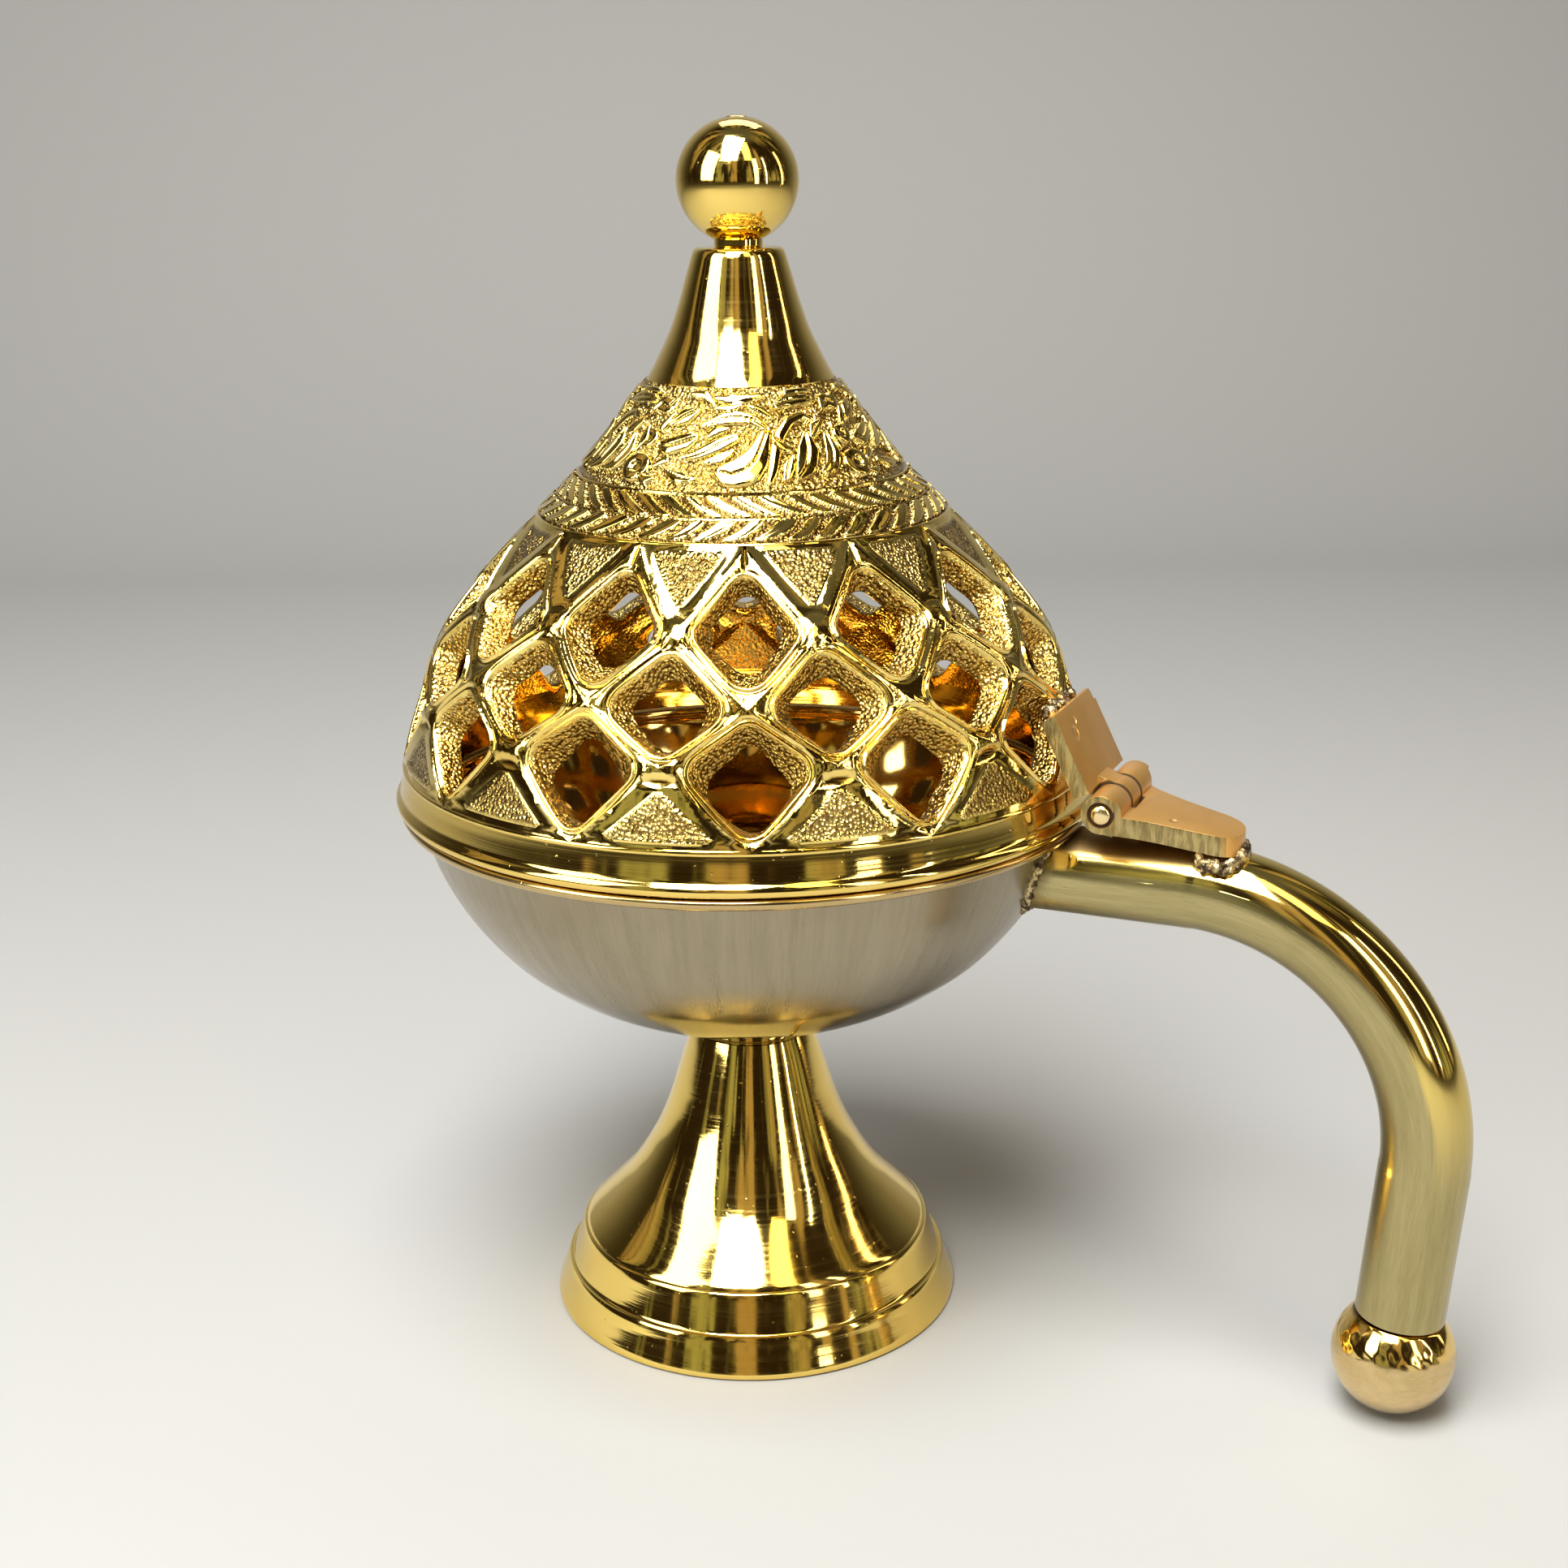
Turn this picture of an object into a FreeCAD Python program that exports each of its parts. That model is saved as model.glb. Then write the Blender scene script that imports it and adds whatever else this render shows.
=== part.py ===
import FreeCAD, Part
import math
import os

# Brass censer with a side handle and a hinged pierced lid.
# Frame: Z is the axis of revolution of foot, bowl and lid, z = 0 is the plane the foot stands on,
# +X points along the handle. The hinge pin is parallel to Y. Millimetres.

V = FreeCAD.Vector
doc = FreeCAD.newDocument("censer")
sheet = doc.addObject("Spreadsheet::Sheet", "Dims")
sheet.Label = "Dims"
_values = {}


def cell(alias, value):
    """One driving dimension: name in column A, plain number in column B with an alias."""
    row = len(_values) + 1
    sheet.set("A%d" % row, alias)
    sheet.set("B%d" % row, repr(round(float(value), 5)))
    sheet.setAlias("B%d" % row, alias)
    _values[alias] = round(float(value), 5)
    return alias


def val(alias):
    return _values[alias]


# --- overall sizes -------------------------------------------------------------------------
for alias, value in {
    "hinge_x": 54.7,        # hinge axis, distance from the object's axis
    "hinge_z": 83.4,        # hinge axis height
    "knuckle_rad": 2.6,
    "pin_rad": 1.35,
    "pin_play": 0.05,       # radial running clearance of the middle knuckle
    "knuckle_near": -9.1,   # y of the near end of the hinge
    "knuckle_far": 9.1,
    "slot_near": -2.8,      # slot for the middle knuckle
    "slot_far": 2.2,
    "side_play": 0.3,       # axial clearance each side of the middle knuckle
    "leaf_thick": 2.75,
    "leaf_slope": 0.148,
    "plate_thick": 2.2,
    "plate_near": -8.4,
    "plate_far": 8.6,
    "tube_rad": 6.0,
    "tube_bore": 4.8,
    "tube_start": 40.0,
    "tube_height": 72.4,
    "bend_x": 64.3,
    "bend_rad": 33.6,
    "bend_lean": 4.5,       # degrees past the vertical, so the grip leans back in
    "grip_len": 21.3,
    "ball_rad": 8.3,
    "finial_rad": 8.25,
    "finial_z": 163.2,
    "row_count": 13,
    "row_start": -65.0,     # azimuth of one opening of the top and bottom rows
    "bolt_rad": 2.5,
    "stud_rad": 1.6,
}.items():
    cell(alias, value)


# --- helpers ------------------------------------------------------------------------------
def origin_plane(body, role):
    for feature in body.Origin.OriginFeatures:
        if feature.Role == role:
            return feature
    raise RuntimeError(role)


def new_body(label):
    body = doc.addObject("PartDesign::Body", label)
    body.Label = label
    return body


def new_sketch(body, name, role="XZ_Plane", offset=None):
    sk = body.newObject("Sketcher::SketchObject", name)
    sk.AttachmentSupport = [(origin_plane(body, role), "")]
    sk.MapMode = "FlatFace"
    if offset is not None:
        sk.AttachmentOffset = offset
    return sk


def polygon(sk, prefix, points):
    """Closed outline of straight edges. Every corner's two coordinates are cells of the sheet."""
    import Sketcher

    n = len(points)
    sk.addGeometry(
        [Part.LineSegment(V(*points[i], 0), V(*points[(i + 1) % n], 0)) for i in range(n)],
        False,
    )
    cons = [Sketcher.Constraint("Coincident", i, 2, (i + 1) % n, 1) for i in range(n)]
    driven = []
    for i, (a, b) in enumerate(points):
        for kind, axis_geo, v, tag in (("DistanceX", -2, a, "x"), ("DistanceY", -1, b, "y")):
            if abs(v) < 1e-9:
                cons.append(Sketcher.Constraint("PointOnObject", i, 1, axis_geo))
            else:
                driven.append((len(cons), "%s%d" % (tag, i), cell("%s_%s_%d" % (prefix, tag, i), v)))
                cons.append(Sketcher.Constraint(kind, -1, 1, i, 1, float(v)))
    sk.addConstraint(cons)
    for idx, cname, alias in driven:
        sk.renameConstraint(idx, cname)
        sk.setExpression("Constraints." + cname, "Dims." + alias)
    return sk


def circle(sk, cx, cy, rad_alias, cx_alias=None, cy_alias=None):
    import Sketcher

    g = sk.addGeometry(Part.Circle(V(cx, cy, 0), V(0, 0, 1), val(rad_alias)), False)
    i = sk.addConstraint(Sketcher.Constraint("Radius", g, val(rad_alias)))
    sk.renameConstraint(i, "rad%d" % g)
    sk.setExpression("Constraints.rad%d" % g, "Dims." + rad_alias)
    for kind, geo, v, alias in (("DistanceX", -2, cx, cx_alias), ("DistanceY", -1, cy, cy_alias)):
        if abs(v) < 1e-9:
            sk.addConstraint(Sketcher.Constraint("PointOnObject", g, 3, geo))
            continue
        i = sk.addConstraint(Sketcher.Constraint(kind, -1, 1, g, 3, float(v)))
        if alias:
            sk.renameConstraint(i, "%s%d" % (kind[-1].lower(), g))
            sk.setExpression("Constraints.%s%d" % (kind[-1].lower(), g), "Dims." + alias)
    return g


def revolve(body, prefix, points, name=None):
    """Turned shape: the outline (radius, height) goes once round the body's Z axis."""
    sk = polygon(new_sketch(body, name or prefix + "_outline"), prefix, points)
    rev = body.newObject("PartDesign::Revolution", (name or prefix) + "_turned")
    rev.Profile = sk
    rev.ReferenceAxis = (sk, ["V_Axis"])
    rev.Angle = 360
    body.Tip = rev
    doc.recompute()
    return rev


def pad(body, sk, name, near, far):
    """Extrusion of an XZ sketch from y = near to y = far (cell aliases or numbers)."""
    p = body.newObject("PartDesign::Pad", name)
    p.Profile = sk
    p.Length = 1
    body.Tip = p
    return p


def check_cut(body, before, name, least=0.5):
    doc.recompute()
    after = body.Shape.Volume
    if not before - after > least:
        raise RuntimeError("%s cut nothing: %.3f -> %.3f" % (name, before, after))


def xz_sketch_at(body, name, y):
    """Sketch parallel to XZ at height y. Its own x is X, its own y is Z, its normal is -Y."""
    return new_sketch(body, name, "XZ_Plane", FreeCAD.Placement(V(0, 0, -y), FreeCAD.Rotation()))


def pad_between(body, sk_points, prefix, near, far, extra=None):
    """Pad of a polygon in XZ from y = near to y = far: the sketch lies at the far end and goes to -Y."""
    sk = xz_sketch_at(body, prefix + "_sk", far)
    if sk_points:
        polygon(sk, prefix, sk_points)
    if extra:
        circle(sk, *extra)
    p = body.newObject("PartDesign::Pad", prefix + "_pad")
    p.Profile = sk
    p.Length = far - near
    p.setExpression("Length", "Dims." + cell(prefix + "_width", far - near))
    body.Tip = p
    doc.recompute()
    box = body.Shape.BoundBox
    if box.YMax > far + 1e-3 and prefix.endswith("_first"):
        raise RuntimeError(prefix + " went the wrong way")
    return p


# --- foot ---------------------------------------------------------------------------------
foot = new_body("foot")
revolve(foot, "foot", [
    (2.7, 38.6), (6.2, 38.6), (6.6, 37.0), (7.1, 34.5), (8.9, 29.0), (11.2, 24.2), (13.8, 20.0),
    (16.6, 16.6), (20.2, 13.4), (23.2, 10.8), (24.4, 8.0), (26.6, 4.0), (28.0, 0.0),
    (30.3, 0.0), (30.2, 0.9), (29.5, 2.4), (28.8, 4.2), (28.45, 5.6), (27.9, 5.85), (27.1, 8.0),
    (26.2, 10.6), (25.7, 11.35), (25.35, 11.5), (24.9, 12.4), (24.0, 13.6), (22.5, 14.9),
    (20.9, 16.3), (18.9, 18.8), (17.2, 21.0), (16.0, 23.0), (14.4, 25.6), (13.2, 28.2),
    (12.1, 31.0), (11.1, 34.2), (10.2, 37.2), (9.3, 40.0), (8.8, 42.0), (2.7, 42.0),
])

# --- bowl ---------------------------------------------------------------------------------
bowl_outer = [
    (8.8, 42.0), (10.2, 42.9), (14.0, 45.2), (17.0, 46.55), (20.0, 47.8), (23.0, 49.15),
    (26.0, 50.6), (29.0, 52.3), (32.0, 54.4), (35.2, 57.0), (38.0, 60.0), (40.8, 63.6),
    (43.0, 67.2), (44.8, 71.0), (46.0, 74.4), (46.9, 77.2),
]
bowl = new_body("bowl")
revolve(bowl, "bowl", [(2.7, 42.0)] + bowl_outer + [
    (48.6, 77.5), (49.2, 77.9), (49.4, 78.4), (49.2, 78.9), (48.9, 79.0), (44.9, 79.0),
    (44.6, 77.0), (43.7, 74.0), (42.4, 70.6), (40.6, 67.0), (38.4, 63.6), (36.0, 60.6),
    (33.4, 58.2), (30.4, 56.0), (27.0, 54.0), (23.0, 52.1), (18.6, 50.4), (14.0, 48.6),
    (10.4, 47.0), (8.6, 45.2), (2.7, 45.2),
])

# Solid inside the bowl's outer surface, used only to cope the tube and the braze to the bowl.
envelope = new_body("bowl_envelope")
revolve(envelope, "env", [(0.0, 42.0)] + bowl_outer + [
    (48.6, 77.5), (49.2, 77.9), (49.4, 78.4), (49.4, 84.0), (0.0, 84.0)])

# --- bolt, washer and nut that hold foot and bowl together ---------------------------------
bolt = new_body("bowl_bolt")
revolve(bolt, "bolt", [
    (0.0, 33.2), (2.1, 33.2), (2.5, 33.6), (2.5, 46.3), (4.3, 46.3), (4.3, 47.6), (3.6, 48.8),
    (2.2, 49.5), (0.0, 49.7),
])
washer = new_body("bowl_washer")
revolve(washer, "washer", [(2.7, 45.2), (6.0, 45.2), (6.0, 46.3), (2.7, 46.3)])


def hex_nut(label, flats, bore, low, high):
    """Hexagonal prism with a round bore, axis on Z."""
    for k, v in (("flats", flats), ("bore", bore), ("low", low), ("tall", high - low)):
        cell("%s_%s" % (label, k), v)
    prism = doc.addObject("Part::Prism", label + "_prism")
    prism.Polygon = 6
    prism.setExpression("Circumradius", "Dims.%s_flats / 2 / cos(30)" % label)
    prism.setExpression("Height", "Dims.%s_tall" % label)
    prism.setExpression("Placement.Base.z", "Dims.%s_low" % label)
    hole = doc.addObject("Part::Cylinder", label + "_bore_cyl")
    hole.setExpression("Radius", "Dims.%s_bore" % label)
    hole.setExpression("Height", "Dims.%s_tall + 2" % label)
    hole.setExpression("Placement.Base.z", "Dims.%s_low - 1" % label)
    cut = doc.addObject("Part::Cut", label)
    cut.Base, cut.Tool = prism, hole
    cut.Label = label
    return cut


foot_nut = hex_nut("foot_nut", 8.0, 2.5, 34.8, 38.6)

# --- handle tube --------------------------------------------------------------------------
lean = math.radians(val("bend_lean"))
bx, bz, br = val("bend_x"), val("tube_height") - val("bend_rad"), val("bend_rad")
bend_end = V(bx + br * math.cos(lean), bz - br * math.sin(lean), 0)
down = V(-math.sin(lean), -math.cos(lean), 0)
grip_end = bend_end + down * val("grip_len")
mid_a = (math.pi / 2 - lean) / 2

import Sketcher

tube_blank = new_body("tube_blank")
path = new_sketch(tube_blank, "tube_path", "XZ_Plane")
path.addGeometry([
    Part.LineSegment(V(val("tube_start"), val("tube_height"), 0), V(bx, val("tube_height"), 0)),
    Part.ArcOfCircle(Part.Circle(V(bx, bz, 0), V(0, 0, 1), br), -lean, math.pi / 2),
    Part.LineSegment(bend_end, grip_end),
], False)
# the arc runs counter-clockwise, so its start is the bend's lower end
low_pt, high_pt = 1, 2
path.addConstraint([
    Sketcher.Constraint("Coincident", 0, 2, 1, high_pt),
    Sketcher.Constraint("Coincident", 1, low_pt, 2, 1),
])
drop = "Dims.tube_height - Dims.bend_rad"
for k, (kind, geo, pos, value, text) in enumerate((
    ("DistanceX", 0, 1, val("tube_start"), "Dims.tube_start"),
    ("DistanceY", 0, 1, val("tube_height"), "Dims.tube_height"),
    ("DistanceX", 0, 2, bx, "Dims.bend_x"),
    ("DistanceY", 0, 2, val("tube_height"), "Dims.tube_height"),
    ("DistanceX", 1, 3, bx, "Dims.bend_x"),
    ("DistanceY", 1, 3, bz, drop),
    ("DistanceY", 1, low_pt, bend_end.y, drop + " - Dims.bend_rad * sin(Dims.bend_lean)"),
    ("DistanceX", 2, 2, grip_end.x,
     "Dims.bend_x + Dims.bend_rad * cos(Dims.bend_lean) - Dims.grip_len * sin(Dims.bend_lean)"),
    ("DistanceY", 2, 2, grip_end.y,
     drop + " - Dims.bend_rad * sin(Dims.bend_lean) - Dims.grip_len * cos(Dims.bend_lean)"),
)):
    i = path.addConstraint(Sketcher.Constraint(kind, -1, 1, geo, pos, float(value)))
    path.renameConstraint(i, "path%d" % k)
    path.setExpression("Constraints.path%d" % k, text)
doc.recompute()


def tube_ring(name, rad_alias):
    ring = new_sketch(tube_blank, name, "YZ_Plane",
                      FreeCAD.Placement(V(0, 0, val("tube_start")), FreeCAD.Rotation()))
    circle(ring, 0, val("tube_height"), rad_alias, None, "tube_height")
    doc.recompute()
    return ring


pipe = tube_blank.newObject("PartDesign::AdditivePipe", "tube_swept")
pipe.Profile = tube_ring("tube_section", "tube_rad")
pipe.Spine = (path, ["Edge1", "Edge2", "Edge3"])
tube_blank.Tip = pipe
doc.recompute()
bore = tube_blank.newObject("PartDesign::SubtractivePipe", "tube_bored")
bore.Profile = tube_ring("tube_bore_section", "tube_bore")
bore.Spine = (path, ["Edge1", "Edge2", "Edge3"])
tube_blank.Tip = bore
doc.recompute()
length = (bx - val("tube_start")) + br * (math.pi / 2 + lean) + val("grip_len")
section = math.pi * (val("tube_rad") ** 2 - val("tube_bore") ** 2)
if abs(tube_blank.Shape.Volume / (length * section) - 1) > 0.01:
    raise RuntimeError("tube volume %.1f, expected %.1f" % (tube_blank.Shape.Volume, length * section))
handle_tube = doc.addObject("Part::Cut", "handle_tube")
handle_tube.Base, handle_tube.Tool = tube_blank, envelope
handle_tube.Label = "handle_tube"

# --- braze fillet between tube and bowl ----------------------------------------------------
cell("fillet_big", 7.35)
cell("fillet_small", 6.05)
cell("fillet_end", 50.4)
fillet_cone = doc.addObject("Part::Cone", "fillet_cone")
fillet_cone.Placement = FreeCAD.Placement(V(val("tube_start"), 0, val("tube_height")),
                                          FreeCAD.Rotation(V(0, 1, 0), 90))
fillet_cone.setExpression("Placement.Base.x", "Dims.tube_start")
fillet_cone.setExpression("Placement.Base.z", "Dims.tube_height")
fillet_cone.setExpression("Radius1", "Dims.fillet_big + 0.9")
fillet_cone.setExpression("Radius2", "Dims.fillet_small")
fillet_cone.setExpression("Height", "Dims.fillet_end - Dims.tube_start")
fillet_core = doc.addObject("Part::Cylinder", "fillet_core")
fillet_core.Placement = FreeCAD.Placement(V(30, 0, val("tube_height")), FreeCAD.Rotation(V(0, 1, 0), 90))
fillet_core.setExpression("Placement.Base.z", "Dims.tube_height")
fillet_core.setExpression("Radius", "Dims.tube_rad")
fillet_core.Height = 30
fillet_ring = doc.addObject("Part::Cut", "fillet_ring")
fillet_ring.Base, fillet_ring.Tool = fillet_cone, fillet_core
handle_braze = doc.addObject("Part::Cut", "handle_braze")
handle_braze.Base, handle_braze.Tool = fillet_ring, envelope
handle_braze.Label = "handle_braze"

# --- ball, stud and plug at the grip's end -------------------------------------------------
# They are turned about the grip's own axis: built on Z and turned into place.
grip_dir = V(-math.sin(lean), 0, -math.cos(lean))
grip_foot = V(grip_end.x, 0, grip_end.y)
turn = FreeCAD.Rotation(V(0, 1, 0), math.degrees(lean))


def on_grip(body):
    body.Placement = FreeCAD.Placement(grip_foot, turn)
    body.setExpression("Placement.Base.x",
                       "Dims.bend_x + Dims.bend_rad * cos(Dims.bend_lean) - Dims.grip_len * sin(Dims.bend_lean)")
    body.setExpression("Placement.Base.z",
                       "Dims.tube_height - Dims.bend_rad - Dims.bend_rad * sin(Dims.bend_lean)"
                       " - Dims.grip_len * cos(Dims.bend_lean)")
    return body


ball_body = on_grip(new_body("handle_ball"))
seat = -0.35                     # top of the ball, under the tube's end
centre = -6.3                    # the ball's centre along the grip axis
R = val("ball_rad")
pts = [(1.6, centre + R * 0.3), (1.6, 0.0), (5.35, 0.0), (5.35, seat)]
start = math.asin(5.9 / R)
for k in range(0, 13):
    a = start + (math.pi - start) * k / 12
    pts.append((round(R * math.sin(a), 4) if k < 12 else 0.0, round(centre + R * math.cos(a), 4)))
pts.append((0.0, centre + R * 0.3))
revolve(ball_body, "hball", pts)
stud_body = on_grip(new_body("ball_stud"))
revolve(stud_body, "bstud", [(0.0, centre + R * 0.3), (1.6, centre + R * 0.3), (1.6, 9.0), (1.2, 9.4), (0.0, 9.4)])
plug_body = on_grip(new_body("tube_plug"))
revolve(plug_body, "plug", [(1.6, 0.0), (4.8, 0.0), (4.8, 11.0), (4.2, 11.6), (0.0, 11.6), (0.0, 9.4), (1.2, 9.4), (1.6, 9.0)])

# --- lower hinge leaf ----------------------------------------------------------------------
hx, hz = val("hinge_x"), val("hinge_z")
slope, lt = val("leaf_slope"), val("leaf_thick")


def leaf_top(x):
    return hz + 0.09 - slope * (x - hx)


leaf = new_body("handle_leaf")
near, far = val("knuckle_near"), val("knuckle_far")
sk = xz_sketch_at(leaf, "leaf_barrel_sk", far)
circle(sk, hx, hz, "knuckle_rad", "hinge_x", "hinge_z")
p = leaf.newObject("PartDesign::Pad", "leaf_barrel")
p.Profile = sk
p.setExpression("Length", "Dims.knuckle_far - Dims.knuckle_near")
leaf.Tip = p
doc.recompute()
b = leaf.Shape.BoundBox
if abs(b.YMin - near) > 1e-3 or abs(b.YMax - far) > 1e-3:
    raise RuntimeError("barrel spans %.2f..%.2f" % (b.YMin, b.YMax))
x1, x2 = hx, 73.0
pad_between(leaf, [
    (x1, leaf_top(x1) - 0.01), (x2, leaf_top(x2)), (x2, leaf_top(x2) - lt), (x1 + 0.4, hz - 2.55),
], "tongue", near, far)
# the tongue tapers to a rounded tip; all of the strip outside this outline goes away
outline = [
    (50.0, near - 1.0), (50.0, far + 1.0), (56.4, far + 1.0), (56.9, 7.9), (58.4, 6.8), (61.0, 5.7),
    (64.0, 4.7), (67.0, 3.9), (69.4, 3.2), (70.9, 2.1), (71.8, 0.6), (72.1, -1.2), (71.9, -3.2),
    (71.2, -4.7), (69.8, -5.7), (67.0, -6.2), (64.0, -6.6), (61.0, -7.1), (58.4, -7.8),
    (56.9, -8.6), (56.4, near - 1.0),
]
before = leaf.Shape.Volume
sk = new_sketch(leaf, "tongue_plan", "XY_Plane", FreeCAD.Placement(V(0, 0, 90), FreeCAD.Rotation()))
cut_away = [(56.4, far + 1.0)] + outline[3:20] + [(56.4, near - 1.0), (75.0, near - 1.0), (75.0, far + 1.0)]
polygon(sk, "plan", cut_away)
pk = leaf.newObject("PartDesign::Pocket", "tongue_taper")
pk.Profile = sk
pk.Length = 20
leaf.Tip = pk
check_cut(leaf, before, "tongue_taper", 50)
before = leaf.Shape.Volume
sk = new_sketch(leaf, "slot_plan", "XY_Plane", FreeCAD.Placement(V(0, 0, 90), FreeCAD.Rotation()))
polygon(sk, "slot", [
    (50.0, val("slot_near")), (hx + 3.1, val("slot_near")), (hx + 3.1, val("slot_far")), (50.0, val("slot_far")),
])
pk = leaf.newObject("PartDesign::Pocket", "middle_slot")
pk.Profile = sk
pk.Length = 20
leaf.Tip = pk
check_cut(leaf, before, "middle_slot", 50)
before = leaf.Shape.Volume
sk = xz_sketch_at(leaf, "leaf_bore_sk", far + 1)
circle(sk, hx, hz, "pin_rad", "hinge_x", "hinge_z")
pk = leaf.newObject("PartDesign::Pocket", "leaf_bore")
pk.Profile = sk
pk.Length = 21
pk.Reversed = True
leaf.Tip = pk
doc.recompute()
if leaf.Shape.Volume > before - 20:
    pk.Reversed = False
check_cut(leaf, before, "leaf_bore", 20)

# --- hinge pin ----------------------------------------------------------------------------
pin = new_body("hinge_pin")
half = 9.45
revolve(pin, "pin", [
    (0.0, -half), (0.85, -half), (1.35, -half + 0.35), (1.35, half - 0.35), (0.85, half), (0.0, half),
])
pin.Placement = FreeCAD.Placement(V(hx, 0, hz), FreeCAD.Rotation(V(1, 0, 0), 90))
pin.setExpression("Placement.Base.x", "Dims.hinge_x")
pin.setExpression("Placement.Base.z", "Dims.hinge_z")

# --- braze under the tongue's tip ----------------------------------------------------------
pad_box = new_body("leaf_braze_blank")
pad_between(pad_box, [
    (66.5, 74.5), (73.9, 74.5), (74.0, 77.0), (73.2, 78.7), (72.6, 79.9), (71.9, 80.2), (66.0, 80.2),
], "lbraze", -5.2, 2.4)
braze_wo_tube = doc.addObject("Part::Cut", "braze_wo_tube")
tube_solid = doc.addObject("Part::Feature", "tube_solid")
# the tube filled solid, so that no braze lies inside it
arc_path = Part.Wire([
    Part.LineSegment(V(val("tube_start"), 0, val("tube_height")), V(bx, 0, val("tube_height"))).toShape(),
    Part.Arc(V(bx, 0, val("tube_height")),
             V(bx + br * math.cos(mid_a), 0, bz + br * math.sin(mid_a)),
             V(bend_end.x, 0, bend_end.y)).toShape(),
])
tube_solid.Shape = arc_path.makePipeShell(
    [Part.Wire(Part.Circle(V(val("tube_start"), 0, val("tube_height")), V(1, 0, 0), val("tube_rad")).toShape())],
    True, False)
braze_wo_tube.Base, braze_wo_tube.Tool = pad_box, tube_solid
leaf_braze = doc.addObject("Part::Cut", "leaf_braze")
leaf_braze.Base, leaf_braze.Tool = braze_wo_tube, leaf
leaf_braze.Label = "leaf_braze"

# --- lid: pierced dome ---------------------------------------------------------------------
dome = new_body("lid_dome")
revolve(dome, "dome", [
    (45.6, 79.3), (49.5, 79.3), (49.9, 79.7), (50.0, 80.3), (49.85, 80.9), (49.4, 81.5),
    (49.1, 82.4), (48.75, 84.0), (48.3, 86.0), (46.9, 91.0), (45.0, 97.0), (43.8, 100.0),
    (42.2, 103.3), (40.1, 106.2), (37.7, 109.0), (35.3, 112.0), (32.6, 115.0), (29.7, 118.1),
    (26.6, 121.0), (23.5, 124.0), (20.6, 127.0), (18.2, 130.0), (16.1, 133.0), (14.3, 135.5),
    (13.1, 137.2), (12.2, 138.2), (11.4, 139.8), (10.5, 141.6), (9.5, 143.4), (8.7, 145.6),
    (7.9, 148.0), (7.1, 150.8), (6.4, 153.2), (5.95, 154.3), (5.6, 154.6), (1.7, 154.6),
    (1.7, 151.6), (4.9, 151.6), (5.3, 149.0), (6.2, 145.4), (7.2, 142.0), (9.0, 138.6),
    (10.6, 135.4), (12.6, 132.2), (14.9, 129.0), (17.6, 125.6), (20.8, 122.2), (24.6, 118.6),
    (28.2, 114.8), (31.6, 110.8), (35.0, 106.6), (37.8, 102.8), (40.0, 99.0), (41.8, 95.0),
    (43.4, 90.0), (44.6, 85.4), (45.3, 82.0),
])


def opening_row(label, z, half_w, up, dn, shift):
    """One row of rounded-diamond openings through the dome wall, evenly spaced round the axis."""
    before = dome.Shape.Volume
    az = val("row_start") + shift * 360.0 / val("row_count")
    # a plane through the Z axis, its own +x at 90 degrees to the opening's azimuth
    off = FreeCAD.Placement(V(0, 0, 0), FreeCAD.Rotation(V(0, 1, 0), az + 90.0))
    sk = new_sketch(dome, label + "_sk", "XZ_Plane", off)
    k = 0.42
    polygon(sk, label, [
        (half_w, z - dn * 0.12), (half_w, z + up * 0.12), (half_w * k, z + up * 0.86),
        (half_w * 0.12, z + up), (-half_w * 0.12, z + up), (-half_w * k, z + up * 0.86),
        (-half_w, z + up * 0.12), (-half_w, z - dn * 0.12), (-half_w * k, z - dn * 0.86),
        (-half_w * 0.12, z - dn), (half_w * 0.12, z - dn), (half_w * k, z - dn * 0.86),
    ])
    pk = dome.newObject("PartDesign::Pocket", label + "_cut")
    pk.Profile = sk
    pk.Length = 60
    dome.Tip = pk
    doc.recompute()
    want = V(math.cos(math.radians(az)), math.sin(math.radians(az)), 0) * 1.0
    r_here = max(p.Point.dot(want) for p in dome.Shape.Vertexes if abs(p.Point.z - z) < up)
    probe = want * 0 + V(0, 0, z)
    # the opening has to be on the wanted side: no material on its middle line there
    line = Part.LineSegment(V(0, 0, z), V(want.x * 60, want.y * 60, z)).toShape()
    if dome.Shape.common(line).Length > 0.01:
        pk.Reversed = True
        doc.recompute()
        if dome.Shape.common(line).Length > 0.01:
            raise RuntimeError(label + " opening missing")
    check_cut(dome, before, label, 20)
    pp = dome.newObject("PartDesign::PolarPattern", label + "_row")
    pp.Originals = [pk]
    pp.Axis = (origin_plane(dome, "Z_Axis"), [""])
    pp.Angle = 360
    pp.Occurrences = int(val("row_count"))
    pp.setExpression("Occurrences", "Dims.row_count")
    dome.Tip = pp
    one = before - dome.Shape.Volume
    doc.recompute()
    got = before - dome.Shape.Volume
    if got < 10 * one:
        raise RuntimeError("%s pattern: one %.1f all %.1f" % (label, one, got))


opening_row("row_low", 93.2, 5.4, 4.6, 4.6, 0.0)
opening_row("row_mid", 101.6, 5.1, 4.4, 4.4, 0.5)
opening_row("row_top", 110.2, 4.9, 4.4, 4.6, 0.0)

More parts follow.
